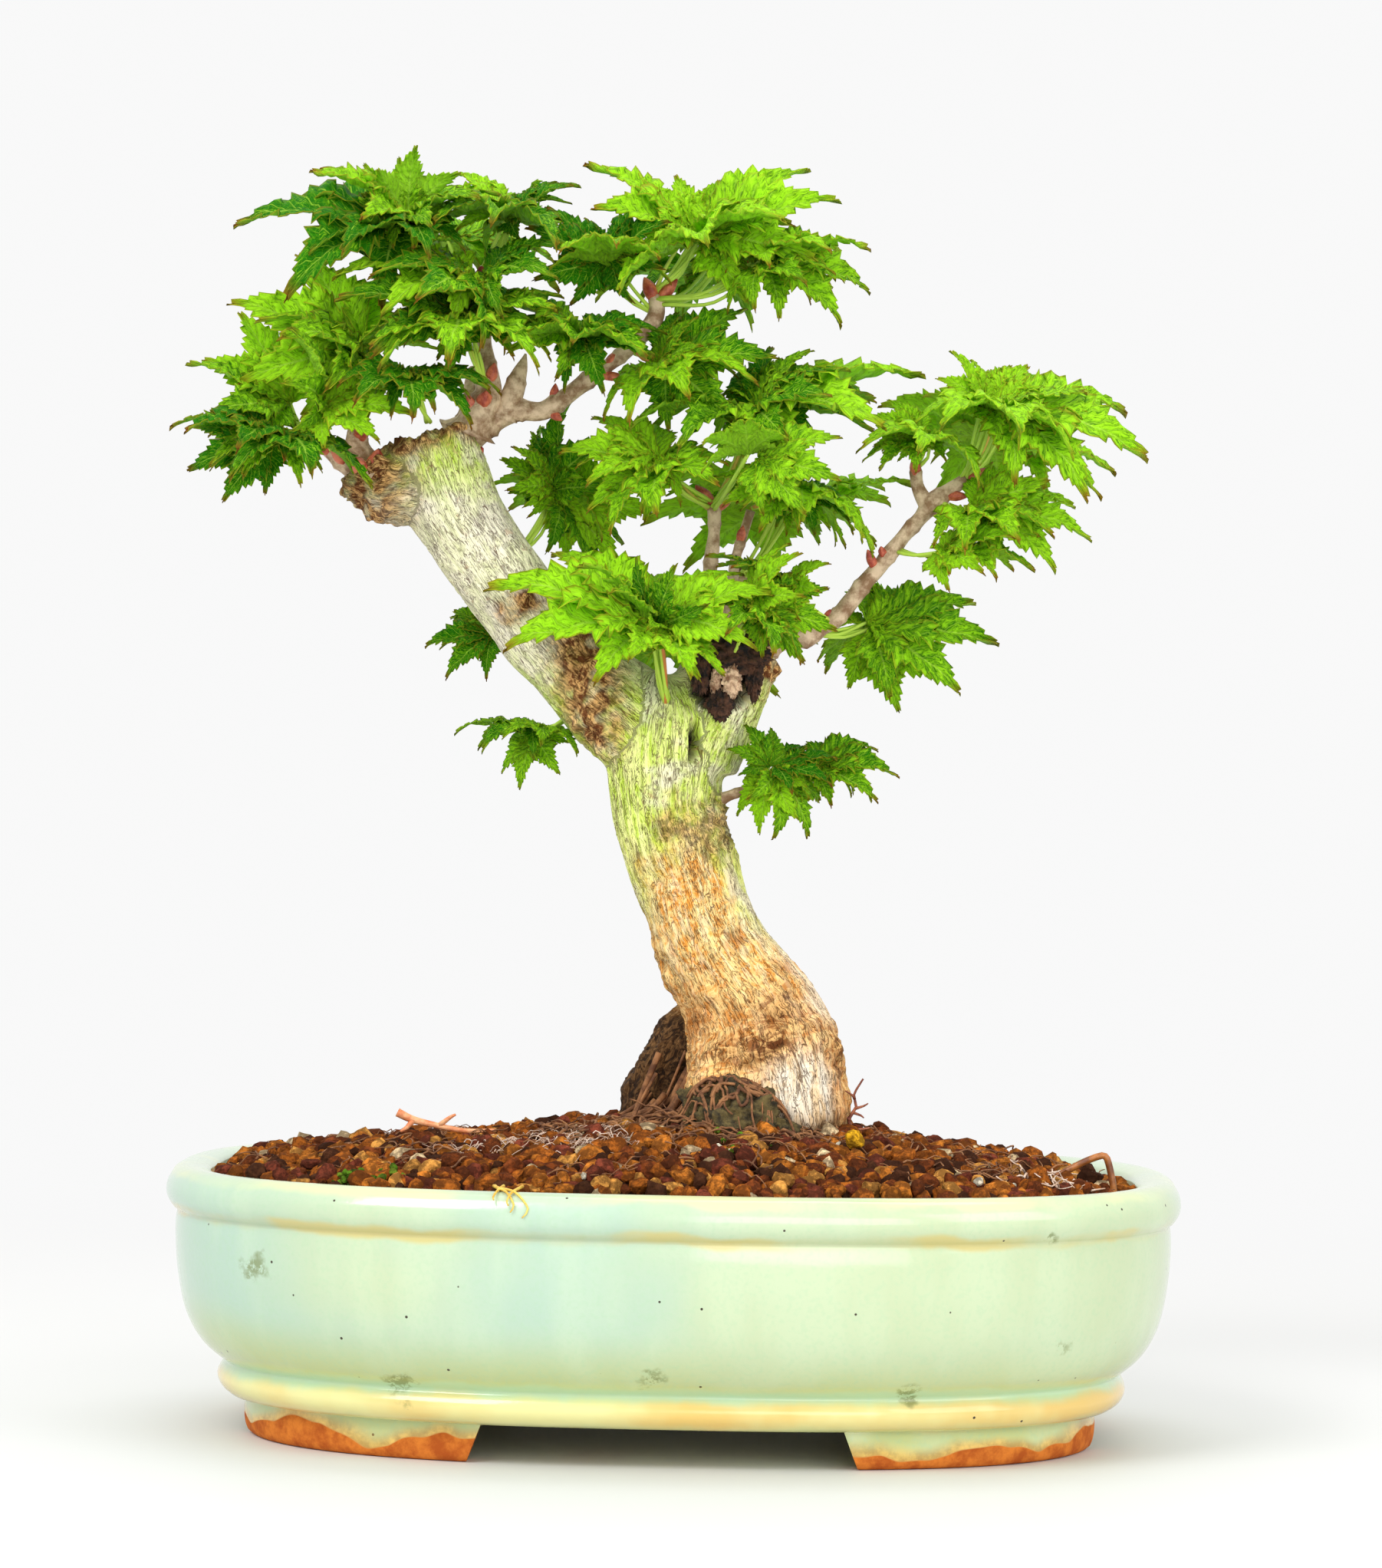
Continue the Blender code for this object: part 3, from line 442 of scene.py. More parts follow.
def stalk_paint():
    paint = Paint("leaf_stalk", 0.5)
    paint.set("Specular IOR Level", 0.2)
    redness = paint.split(paint.attribute("tone")["Vector"])[1]
    green = paint.mix(paint.noise(220.0, 2.0), (0.40, 0.62, 0.05), (0.62, 0.84, 0.13))
    paint.set("Base Color", paint.mix(paint.ramp(redness, 0.55, 1.0), green, (0.62, 0.22, 0.06)))
    paint.set("Normal", paint.bump(paint.noise(700.0, 2.0), 0.2, 0.0004))
    return paint.material


def grain_paint():
    """Fired clay, pumice and bark crumbs: each grain's own colour, darkened in patches by dark dust and by
    painted shade.
    """
    paint = Paint("soil_grains", 0.92)
    paint.set("Specular IOR Level", 0.03)
    tone = paint.attribute("tone")["Color"]
    # dark patches strewn by noise over the grains: partly dark dust, partly painted shade
    own_tone_share = paint.ramp(paint.noise(420.0, 4.0, 0.7), 0.44, 0.66)
    dark = paint.mix(0.72, tone, (0.025, 0.010, 0.006))
    paint.set("Base Color", paint.mix(own_tone_share, dark, tone))
    rough = paint.plus(paint.noise(700.0, 5.0, 0.7), paint.times(paint.cells(900.0), 0.6))
    paint.set("Normal", paint.bump(rough, 0.7, 0.0008))
    return paint.material


def plain_paint(name, dark, light, scale, roughness, bump):
    paint = Paint(name, roughness)
    mottle = paint.noise(scale, 4.0, 0.65)
    paint.set("Base Color", paint.mix(paint.ramp(mottle, 0.35, 0.65), dark, light))
    paint.set("Normal", paint.bump(paint.noise(scale * 3.0, 3.0), bump, 0.0005))
    return paint.material


# ---------------------------------------------------------------- mesh helpers


def as_mesh(body, name):
    mesh = bpy.data.meshes.new(name)
    body.to_mesh(mesh)
    body.free()
    return mesh


def as_object(body, name):
    made = bpy.data.objects.new(name, as_mesh(body, name))
    bpy.context.scene.collection.objects.link(made)
    return made


def with_modifiers(thing):
    """A new bmesh of the object as its modifiers leave it."""
    bpy.context.view_layer.update()
    shown = thing.evaluated_get(bpy.context.evaluated_depsgraph_get())
    body = bmesh.new()
    body.from_mesh(shown.to_mesh())
    return body


def finish_piece(body, name, materials, replaces, smooth=True):
    """Turn a bmesh in millimetres into a piece of the scene, in metres."""
    bmesh.ops.transform(body, matrix=Matrix.Scale(MM, 4), verts=body.verts)
    piece = as_object(body, name)
    for material in materials:
        piece.data.materials.append(material)
    if smooth:
        piece.data.shade_smooth()
    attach(piece, "root")
    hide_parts(*replaces)
    return piece


def smooth_path(points, spacing):
    """Points along a smooth curve through the given (x, y, z, radius...) rows."""
    rows = [np.array(point, float) for point in points]
    rows = [2 * rows[0] - rows[1]] + rows + [2 * rows[-1] - rows[-2]]
    path = []
    for before, start, end, after in zip(rows, rows[1:], rows[2:], rows[3:]):
        steps = max(2, int(np.linalg.norm(end[:3] - start[:3]) / spacing))
        for step in range(steps):
            t = step / steps
            bend = (2 * start + (end - before) * t + (2 * before - 5 * start + 4 * end - after) * t ** 2
                    + (3 * start - before - 3 * end + after) * t ** 3) / 2
            path.append(bend)
    path.append(rows[-2])
    return path


def add_tube(body, path, sides):
    """A grid rolled round a path of (x, y, z, radius) rows, closed at both ends."""
    centres = [Vector(row[:3]) for row in path]
    rings = []
    across = Vector((0.0, 1.0, 0.0))
    for index, centre in enumerate(centres):
        ahead = (centres[min(index + 1, len(centres) - 1)] - centres[max(index - 1, 0)]).normalized()
        side = ahead.cross(across)
        if side.length < 0.2:
            side = ahead.cross(Vector((1.0, 0.0, 0.0)))
        side.normalize()
        across = side.cross(ahead).normalized()
        rings.append((centre, side, across, max(float(path[index][3]), 0.02)))
    rolled = bmesh.new()
    bmesh.ops.create_grid(rolled, x_segments=len(path) - 1, y_segments=sides, size=1.0)
    for vertex in rolled.verts:
        centre, side, up, radius = rings[round((vertex.co.x + 1.0) / 2.0 * (len(path) - 1))]
        turn = (vertex.co.y + 1.0) * math.pi
        vertex.co = centre + (side * math.cos(turn) + up * math.sin(turn)) * radius
    bmesh.ops.remove_doubles(rolled, verts=rolled.verts, dist=0.0005)
    bmesh.ops.holes_fill(rolled, edges=[edge for edge in rolled.edges if edge.is_boundary])
    bmesh.ops.recalc_face_normals(rolled, faces=rolled.faces)
    mesh = as_mesh(rolled, "tube")
    known = len(body.verts)
    body.from_mesh(mesh)
    bpy.data.meshes.remove(mesh)
    body.verts.ensure_lookup_table()
    return body.verts[known:]


# ---------------------------------------------------------------- pot

OVAL_POWER = 2.6


def oval(radius, angle):
    """The pot's oval where a round pot of the same length would have this radius."""
    slimmer = HALF_LENGTH - HALF_WIDTH
    turn = HALF_LENGTH * 0.65
    if radius > turn:
        half_width = radius - slimmer
    else:
        half_width = radius * (turn - slimmer) / turn
    cosine, sine = math.cos(angle), math.sin(angle)
    reach = (abs(cosine) ** OVAL_POWER + abs(sine) ** OVAL_POWER) ** (-1.0 / OVAL_POWER)
    return radius * cosine * reach, half_width * sine * reach


def turned_oval(profile, steps):
    body = bmesh.new()
    knots = [body.verts.new((radius, 0.0, height)) for radius, height in profile]
    edges = [body.edges.new(pair) for pair in zip(knots, knots[1:]) if pair[0].co.x or pair[1].co.x]
    bmesh.ops.spin(body, geom=knots + edges, cent=(0, 0, 0), axis=(0, 0, 1), angle=math.tau,
                   steps=steps, use_merge=True)
    bmesh.ops.remove_doubles(body, verts=body.verts, dist=0.001)
    for vertex in body.verts:
        radius = math.hypot(vertex.co.x, vertex.co.y)
        if radius > 0.001:
            vertex.co.x, vertex.co.y = oval(radius, math.atan2(vertex.co.y, vertex.co.x))
    bmesh.ops.recalc_face_normals(body, faces=body.faces)
    return body


def rounded(points, spacing):
    return [(float(row[0]), float(row[1])) for row in
            smooth_path([(radius, height, 0.0) for radius, height in points], spacing)]


def build_pot(glaze):
    outer, top, foot = HALF_LENGTH, RIM_TOP, FOOT_TOP
    body_height = top - foot
    outside = [(7.0, top), (4.5, top + 0.1), (2.2, top - 0.9), (0.5, top - 3.2), (0.0, top - 5.8),
               (0.5, top - 8.0), (1.7, top - 9.8), (2.7, top - 10.6), (2.5, top - 12.2),
               (2.3, top - 16.0), (2.8, top - 24.0), (4.3, foot + 0.41 * body_height),
               (6.4, foot + 0.31 * body_height), (9.4, foot + 0.23 * body_height), (13.0, foot + 9.6),
               (14.6, foot + 8.4), (14.3, foot + 7.4), (13.2, foot + 5.6), (13.1, foot + 3.8),
               (14.2, foot + 1.8), (16.2, foot + 0.5), (18.5, foot)]
    inside = [(outer - 40.0, SOIL_FLOOR), (outer - 26.0, 17.5), (outer - 20.0, 24.0),
              (outer - 14.6, 38.0), (outer - 12.4, top - 12.0), (outer - RIM_WIDTH, top - 3.0),
              (outer - RIM_WIDTH + 1.2, top - 0.8), (outer - 7.0, top)]
    shell = rounded([(outer - inset, height) for inset, height in outside], 1.2)
    profile = shell + [(outer - 40.0, foot), (0.0, foot), (0.0, SOIL_FLOOR)] + rounded(inside, 2.0)
    body = turned_oval(profile, 200)
    for vertex in body.verts:
        wobble = noise.noise(vertex.co / 45.0) * 0.35 + noise.noise(vertex.co / 14.0) * 0.10
        if foot + 1.0 < vertex.co.z < top - 1.0 and math.hypot(vertex.co.x, vertex.co.y) > 60.0:
            outward = Vector((vertex.co.x / outer ** 2, vertex.co.y / HALF_WIDTH ** 2, 0.0)).normalized()
            vertex.co += outward * (wobble - 0.25)
    finish_piece(drilled(body), "pot_body", [glaze], ["pot"])


DRILLED = [(x, 0.0, DRAIN_RADIUS) for x in (-DRAIN_OFFSET, DRAIN_OFFSET)]  # x, y, radius
DRILLED += [(x, WIRE_LINE, 2.2) for x in WIRE_HOLES]


def drilled(body):
    """The pot with its two drain holes and two wire holes cut through the floor."""
    bits = bmesh.new()
    for x, y, radius in DRILLED:
        spot = Matrix.Translation((x, y, FOOT_TOP + 3.5))
        bmesh.ops.create_cone(bits, cap_ends=True, segments=32, radius1=radius, radius2=radius, depth=20.0,
                              matrix=spot)
    bmesh.ops.triangulate(body, faces=body.faces)
    things = [as_object(body, "shell"), as_object(bits, "bits")]
    cut = things[0].modifiers.new("drill", "BOOLEAN")
    cut.operation = "DIFFERENCE"
    cut.object = things[1]
    cut.solver = "EXACT"
    holed = with_modifiers(things[0])
    for thing in things:
        bpy.data.objects.remove(thing, do_unlink=True)
    return holed


FOOT_GAP_FRONT = 42.5
FOOT_GAP_END = 18.0
FOOT_SLOPE = 3.5


def build_feet(glaze):
    outer = HALF_LENGTH - 19.6
    section = rounded([(outer - 4.5, 0.0), (outer - 1.8, 0.25), (outer - 0.7, 1.8), (outer - 0.3, 5.0),
                       (outer - 0.6, FOOT_TOP + 0.4)], 0.8)
    section += [(outer - 9.0, FOOT_TOP + 0.4), (outer - 8.4, 1.0), (outer - 7.0, 0.0), section[0]]
    for name, side, face in (("front_left", -1, -1), ("front_right", 1, -1), ("back_left", -1, 1),
                             ("back_right", 1, 1)):
        body = turned_oval(section, 240)
        slope = FOOT_SLOPE / FOOT_TOP
        for point, normal in (((side * FOOT_GAP_FRONT, 0, FOOT_TOP), (side, 0, slope)),
                              ((0, face * FOOT_GAP_END, FOOT_TOP), (0, face, slope))):
            cut = bmesh.ops.bisect_plane(body, geom=body.verts[:] + body.edges[:] + body.faces[:],
                                         plane_co=point, plane_no=Vector(normal).normalized() * -1.0,
                                         clear_outer=True)
            rim = [item for item in cut["geom_cut"] if isinstance(item, bmesh.types.BMEdge)]
            bmesh.ops.holes_fill(body, edges=rim)
        sharp = [edge for edge in body.edges if len(edge.link_faces) == 2
                 and edge.calc_face_angle() > math.radians(50)]
        bmesh.ops.bevel(body, geom=sharp, offset=0.9, segments=3, profile=0.5, affect="EDGES", material=-1,
                        clamp_overlap=True)
        bmesh.ops.recalc_face_normals(body, faces=body.faces)
        finish_piece(body, "foot_" + name, [glaze], ["pot"])


# ---------------------------------------------------------------- wood

# One list of (x, y, z, radius) along each limb and root, from the trunk's foot.
LIMBS = {
    "trunk": [(4, 2, -38, 15), (3, 1, -18, 18), (2, 0, 0, 19.5), (0, 0, 12, 19.0),
              (-3, 0, 21, 17.6), (-8, 0, 30, 14.8), (-13.5, 0, 39, 13.7),
              (-17.5, 0, 48, 13.3), (-20, 0, 57, 13.2), (-23, 0, 65, 13.4),
              (-25.5, 0, 74, 13.6), (-26, 0, 82, 14.5), (-26, 0, 90, 15.6),
              (-26, 0, 97, 13.6), (-27, 0, 103, 9.0), (-27, 0, 107, 3.0)],
    "left_limb": [(-24, 0, 86, 13.5), (-36, 0, 97, 12.9), (-47, 1, 106, 11.4),
                  (-58.5, 2, 118, 10.6), (-66, 2, 127, 10.6), (-73, 3, 137, 10.8),
                  (-80, 3, 148, 11.6), (-86.5, 3, 165, 12.6)],
    "callus": [(-86, 2, 153, 9.5), (-98, 1, 152.5, 8.2), (-107, 0, 154.5, 4.5)],
    "cut_stub": [(-20, 1, 86, 12.5), (-15, 0.6, 99, 12.0), (-11, 0, 108, 11.6), (-9, 0, 114, 10.2)],
    "root_right": [(-6, -1, 38, 6), (-1, -1, 28, 9.5), (5, -1, 18, 12), (10, -3, 8, 10.5),
                   (11, -4, -6, 8.3), (13, -5, -22, 6)],
    "root_left": [(-14, 9, 25, 6.2), (-22, 12, 13, 7.2), (-27, 13, 3, 8.2), (-32, 14, -14, 7)],
    "root_front": [(-6, -5, 20, 10), (-10, -12, 6, 8.6), (-13, -18, -12, 6)],
    "root_back": [(2, 9, 18, 11), (6, 18, 2, 9), (9, 25, -16, 6)],
}

TWIGS = {
    "right_branch": [(-9, 0, 110, 5), (2, 0, 116.5, 3.4), (9, 0, 117.5, 2.9), (12, 0, 119.5, 2.2),
                     (16, -1, 122.5, 2.2), (25, -2, 133.5, 2.0), (31, -2, 141, 1.9), (36, -2, 147, 1.9),
                     (38.5, -2, 150, 2.6), (42, -2, 153, 1.9), (47, -2, 156.5, 1.6)],
    "right_spur": [(38, -2, 149, 2.0), (35, -2, 155, 1.7), (34.5, -2, 159, 1.4)],
    "top_branch": [(-80, 3, 164, 6), (-70, 2, 170.5, 3.8), (-64, 1, 172, 2.9), (-58, 1, 172, 2.5),
                   (-52, 0, 176, 2.2), (-43.4, 0, 182.4, 1.9), (-35, -1, 189.5, 1.8),
                   (-30.5, -1, 195, 2.2), (-30.5, -1, 201, 1.6)],
    "left_shoot": [(-76, 1, 166, 6), (-72, 0, 176, 3.4), (-73, 0, 190, 2.0), (-74, 0, 206, 1.4)],
    "short_stub": [(-68, 1, 170, 3.0), (-65.5, 0, 177, 2.6), (-63.5, 0, 182, 1.7), (-62.5, 0, 186, 0.3)],
    "callus_twig_up": [(-100, 2, 155, 5), (-104, 2, 163, 2.6), (-103.6, 2, 170, 1.9)],
    "callus_twig_out": [(-100, 0, 154, 5), (-110, 0, 161, 2.4), (-115, -1, 163.5, 1.7)],
    "middle_twig": [(-16, 0, 108, 5), (-16, 0, 123, 2.4), (-15.7, 0, 133, 1.8), (-15, 0, 146, 1.6),
                    (-15, 0, 149, 2.0)],
    "thin_twig": [(-13, 2, 112, 4), (-11, 2, 126, 1.6), (-9, 1, 138.5, 1.3), (-6, 0, 148, 1.0)],
    "low_shoot": [(-16, 0, 74, 4), (-12, -2, 76.5, 1.6), (-4.4, -3, 79.5, 0.9)],
    "rear_shoot_left": [(-80, 6, 158, 6), (-79, 18, 170, 2.4), (-77, 27, 184, 1.6)],
    "rear_shoot_right": [(-12, 4, 106, 6), (-10, 16, 121, 2.4), (-8, 26, 134, 1.6)],
}

WOUND = Vector((-12.0, -12.0, 107.5))
BARK_VOXEL = 0.8
BARK_TURN = 12.0         # radius at which the grain is wrapped round a limb
NO_GRAIN = ("root_right", "root_front")  # they take the grain of the trunk beside them


def joined_limbs():
    """All limbs as tubes, fused into one skin."""
    rough = bmesh.new()
    for path in LIMBS.values():
        add_tube(rough, smooth_path(path, 3.0), 28)
    limbs = as_object(rough, "limbs")
    fuse = limbs.modifiers.new("fuse", "REMESH")
    fuse.mode = "VOXEL"
    fuse.voxel_size = BARK_VOXEL
    body = with_modifiers(limbs)
    bpy.data.objects.remove(limbs, do_unlink=True)
    for _ in range(9):
        bmesh.ops.smooth_vert(body, verts=body.verts, factor=0.5, use_axis_x=True, use_axis_y=True,
                              use_axis_z=True)
    return body


def limb_frames():
    """Stations along the limbs: place, direction, distance from its start, radius."""
    stations = []
    for name, points in LIMBS.items():
        if name in NO_GRAIN:
            continue
        path = smooth_path(points, 2.0)
        run = 37.0 * len(stations)
        for index, row in enumerate(path):
            here = Vector(row[:3])
            ahead = Vector(path[min(index + 1, len(path) - 1)][:3]) - Vector(path[max(index - 1, 0)][:3])
            if index:
                run += (here - Vector(path[index - 1][:3])).length
            stations.append((here, ahead.normalized(), run, float(row[3])))
    return stations


def near(place, centre, reach):
    """1 at the centre, falling smoothly to 0 at the reach."""
    t = max(0.0, 1.0 - (place - Vector(centre)).length / reach)
    return t * t * (3.0 - 2.0 * t)


def step(value, low, high):
    t = min(max((value - low) / (high - low), 0.0), 1.0)
    return t * t * (3.0 - 2.0 * t)


def near_line(place, start, end, reach):
    """The same fall from a straight stretch between two points."""
    start, end = Vector(start), Vector(end)
    share = (place - start).dot(end - start) / (end - start).length_squared
    return near(place, start.lerp(end, min(max(share, 0.0), 1.0)), reach)


def bark_zones(place, normal):
    """How much of the bark here is (tan, callus, root, dead)."""
    ragged = noise.fractal(place / 9.0, 0.8, 2.0, 3) * 8.0
    patch = step(noise.noise(place / 3.5), -0.5, 0.0)
    tan = 1.0 - step(place.z + ragged, 58.0, 70.0)
    sunny_side = step(normal.x + ragged * 0.03, 0.45, 0.85) * step(place.z, 16.0, 30.0)
    left_side = step(-normal.x, 0.5, 0.9) * step(place.z, 40.0, 52.0)
    tan *= 1.0 - 0.85 * max(sunny_side, left_side)
    tan = max(0.0, tan - 1.5 * near(place, (10, -18, 5), 17))
    band = math.exp(-((place.z + ragged * 0.7 - 69.0) / 6.5) ** 2) * step(normal.x, -0.6, -0.2) * 0.8
    joint = near_line(place, (-47, -10, 118), (-44, -10, 94), 15) * 1.3
    crown_line = place.z - 0.42 * (place.x + 86.0) + ragged * 0.35
    crown = step(crown_line, 158.0, 164.0) if place.x < -60.0 else 0.0
    burl = near(place, (-100, 0, 153), 19) * 1.6
    lip = near_line(place, (-16, -8, 114), (4, -6, 108), 13) * 1.3
    knots = near(place, (4, -15, 24), 13) + near(place, (18, -6, 15), 11)
    knots += near_line(place, (-10, -16, 14), (2, -18, 16), 7)
    scar = near_line(place, (-66, -9, 121), (-55, -9, 128), 5.5) * 1.5
    callus = min(1.0, max(band, joint, scar, crown, burl, lip, knots * 0.9) * (0.45 + 0.55 * patch))
    # root: painted shade on the low root behind the trunk at the left, and the dark of the bark below the
    # soil
    root = step(place.z, 30.0, 20.0) if place.x < -14.0 and place.y > 0.0 else 0.0
    root = max(root, step(place.z + ragged * 0.4, 1.0, -5.0))
    hollow = step(near(place, WOUND, 15.0) + 0.12 * noise.noise(place / 4.0), 0.26, 0.40)
    dead = max(hollow, near_line(place, (-18.4, -14, 100), (-18.0, -14, 86.5), 2.3) * 1.7)
    return tan, callus, root, min(1.0, dead)


def build_trunk(bark):
    body = joined_limbs()
    stations = limb_frames()
    finder = KDTree(len(stations))
    for index, station in enumerate(stations):
        finder.insert(station[0], index)
    finder.balance()
    grain = body.verts.layers.float_vector.new("grain")
    zone = body.verts.layers.float_color.new("zone")
    body.normal_update()
    for vertex in body.verts:
        place = vertex.co.copy()
        best = min(finder.find_n(place, 8), key=lambda hit: hit[2] - stations[hit[1]][3])
        here, ahead, run = stations[best[1]][:3]
        away = place - here
        along = away.dot(ahead)
        round_about = (away - ahead * along).normalized() * BARK_TURN
        side = ahead.cross(Vector((0, 1, 0))).normalized()
        straight = Vector((round_about.dot(side), round_about.y, run + along))
        vertex[grain] = straight
        tan, callus, root, dead = bark_zones(place, vertex.normal)
        vertex[zone] = (tan, callus, root, dead)
        stretched = Vector((straight.x * 0.42, straight.y * 0.42, straight.z * 0.07))
        cracks = abs(noise.fractal(stretched, 0.7, 2.0, 4))
        swell = noise.noise(place / 13.0) * 1.1
        knots = noise.fractal(place / 4.2, 0.9, 2.0, 4)
        lift = swell + min(cracks, 0.25) * 1.8 - 0.3
        lift += callus * knots * 2.6 + tan * noise.fractal(straight / 5.0, 0.8, 2.0, 3) * 1.0
        lift -= dead * (4.5 + knots * 2.0)
        vertex.co += vertex.normal * lift
        vertex.co += TRUNK_FOOT
    finish_piece(body, "trunk", [bark], ["wood"])


def build_twigs(twig_paint):
    """Thin branches, with rings where the buds sat."""
    body = bmesh.new()
    for points in TWIGS.values():
        path = smooth_path(points, 1.0)
        for index, row in enumerate(path):
            ring = 0.16 * max(0.0, math.cos(index * 0.7)) ** 6
            row[3] *= 1.0 + 0.16 * noise.noise(Vector(row[:3]) / 5.0) + ring
            row[0] += noise.noise(Vector((row[2] / 6.0, 3.0, index * 0.05))) * 0.5
        add_tube(body, path, 14)
    bmesh.ops.translate(body, vec=TRUNK_FOOT, verts=body.verts)
    finish_piece(body, "twigs", [twig_paint], ["wood"])


WOUND_LUMPS = [  # name, centre from the trunk's foot, half sizes
    ("dead_curl", (-9.5, -10.5, 112.4), (8.6, 4.6, 4.6)),
    ("dead_plate", (-17.6, -12.0, 108.6), (2.3, 2.6, 6.0)),
    ("dead_lump", (-12.6, -12.4, 99.6), (2.8, 2.2, 3.6)),
    ("dead_rim", (-4.4, -11.0, 107.0), (2.0, 2.4, 5.6)),
    ("splinter", (-9.8, -13.0, 105.6), (2.3, 1.2, 3.8)),
    ("splinter_small", (-13.8, -12.8, 105.0), (1.2, 1.0, 3.2)),
    ("splinter_cross", (-11.6, -12.0, 102.8), (2.8, 0.9, 1.0)),
]


def build_wound(dead_paint, pale_paint):
    """Charred curls of dead wood and pale splinters in the old cut."""
    for name, centre, half in WOUND_LUMPS:
        body = bmesh.new()
        bmesh.ops.create_icosphere(body, subdivisions=5, radius=1.0)
        for vertex in body.verts:
            swirl = noise.turbulence(vertex.co * 1.9 + Vector(centre), 6, True, amplitude_scale=0.7)
            vertex.co *= 0.62 + 0.62 * swirl
            vertex.co = Vector((vertex.co.x * half[0], vertex.co.y * half[1], vertex.co.z * half[2]))
        bmesh.ops.translate(body, vec=TRUNK_FOOT + Vector(centre), verts=body.verts)
        paint = pale_paint if name.startswith("splinter") else dead_paint
        finish_piece(body, name, [paint], ["wood"])


BUDS = [  # place from the trunk's foot, direction, length, thickness
    ((-73, -3, 201), (0, -0.6, 1), 7.5, 2.6), ((-42, 0, 181), (0.6, -0.2, 0.6), 7.0, 1.7),
    ((-58, -1, 176.5), (0.1, -0.2, 1), 5.0, 1.5), ((-55.5, -1, 169), (0.7, -0.3, -0.5), 4.5, 1.4),
    ((-63, 3, 141), (0.8, -0.6, 0.5), 8.0, 3.6), ((-24, -15, 104), (0.3, -0.8, 0.8), 5.0, 2.0),
    ((-17.5, -1, 149), (-0.7, -0.2, 0.7), 7.0, 1.9), ((-12.5, -1, 148), (0.7, -0.2, 0.7), 6.5, 1.7),
    ((22.5, -2, 135), (-0.4, -0.6, 1.0), 6.0, 1.6), ((31, -3, 133.0), (-0.2, -0.6, 0.6), 4.0, 1.3),
    ((36, -2, 156), (-0.1, -0.3, 1), 6.0, 1.7), ((50, -2, 156), (1, -0.2, 0.35), 8.0, 1.7),
    ((42, -4, 151), (1, -0.3, 0.0), 7.0, 1.5), ((-32, -1, 199), (-0.5, -0.2, 1), 7.0, 2.2),
    ((-28, -1, 199), (0.8, -0.2, 0.9), 8.0, 1.9), ((-45, -1, 180), (1, -0.3, -0.1), 9.0, 1.4),
    ((-106, -2, 168), (-0.3, -0.4, 1), 6.0, 2.2), ((-99, -4, 164), (0.3, -0.6, 0.8), 7.0, 2.4),
    ((-112, -2, 160), (-0.7, -0.4, 0.5), 6.5, 2.3), ((-117, -1, 158), (-0.9, -0.2, 0.1), 6.0, 2.2),
    ((-75, -3, 172), (0.2, -0.8, 0.6), 6.0, 2.4), ((-71, -3, 177), (0.3, -0.6, 1), 7.0, 2.0),
    ((-9.0, 0, 139), (0.2, -0.3, 1), 5.0, 1.6), ((-80, -1, 171), (-0.3, -0.6, 1), 6.0, 2.0),
    ((-104, -6, 160), (-0.6, -0.7, 0.6), 8.0, 2.9), ((-101, -7, 156), (-0.3, -0.9, 0.4), 7.0, 2.8),
    ((-110, -5, 160), (-0.7, -0.6, 0.3), 8.0, 2.6), ((-97, -6, 158), (0.2, -0.7, 0.9), 8.0, 2.8),
    ((13, -2, 119), (0.3, -0.4, 0.8), 4.0, 1.5), ((-3.5, -3, 79), (0.8, -0.3, 0.6), 4.0, 1.2),
]


def build_buds(bud_paint):
    """Pointed bud scales, each a small ridged drop on the nearest twig."""
    knots = [row for points in TWIGS.values() for row in smooth_path(points, 1.0)]
    body = bmesh.new()
    for spot, direction, length, thickness in BUDS:
        knot = min(knots, key=lambda row: (Vector(row[:3]) - Vector(spot)).length)
        aim = Vector(direction).normalized()
        drop = bmesh.ops.create_uvsphere(body, u_segments=14, v_segments=10, radius=1.0)["verts"]
        for vertex in drop:
            taper = 1.0 - 0.55 * max(vertex.co.z, 0.0) ** 1.5
            ridge = 1.0 + 0.10 * math.cos(4.0 * math.atan2(vertex.co.y, vertex.co.x))
            vertex.co.x *= thickness * taper * ridge * 0.8
            vertex.co.y *= thickness * taper * ridge * 0.8
            vertex.co.z *= length / 2
        turn = aim.to_track_quat("Z", "X").to_matrix().to_4x4()
        base = TRUNK_FOOT + Vector(knot[:3]) + aim * (knot[3] * 0.5 + length * 0.38)
        bmesh.ops.transform(body, matrix=Matrix.Translation(base) @ turn, verts=drop)
    finish_piece(body, "buds", [bud_paint], ["wood"])


# ---------------------------------------------------------------- soil


SOIL_BELOW_RIM = 2.6
MOUND_RISE = 9.0
TRUNK_RISE = 6.0
RIGHT_DIP = 2.5


def soil_height(x, y):
    """Mounded to the trunk, level with the rim in front, and low at the right end."""
    along = min(abs(x) / (HALF_LENGTH - RIM_WIDTH), 1.0)
    across = min(abs(y) / (HALF_WIDTH - RIM_WIDTH), 1.0)
    bump = math.exp(-((x - TRUNK_FOOT.x + 12.0) / 42.0) ** 2)
    ridge = MOUND_RISE * (1.0 - along ** 3) + TRUNK_RISE * bump
    dip = RIGHT_DIP * max(0.0, x / (HALF_LENGTH - RIM_WIDTH)) ** 4
    lumps = noise.noise(Vector((x / 16.0, y / 16.0, 3.0))) * 1.2
    mound = (ridge - 1.5) * (1.0 - across ** 2)
    return RIM_TOP - SOIL_BELOW_RIM + mound - dip + lumps * (1.0 - across ** 4)


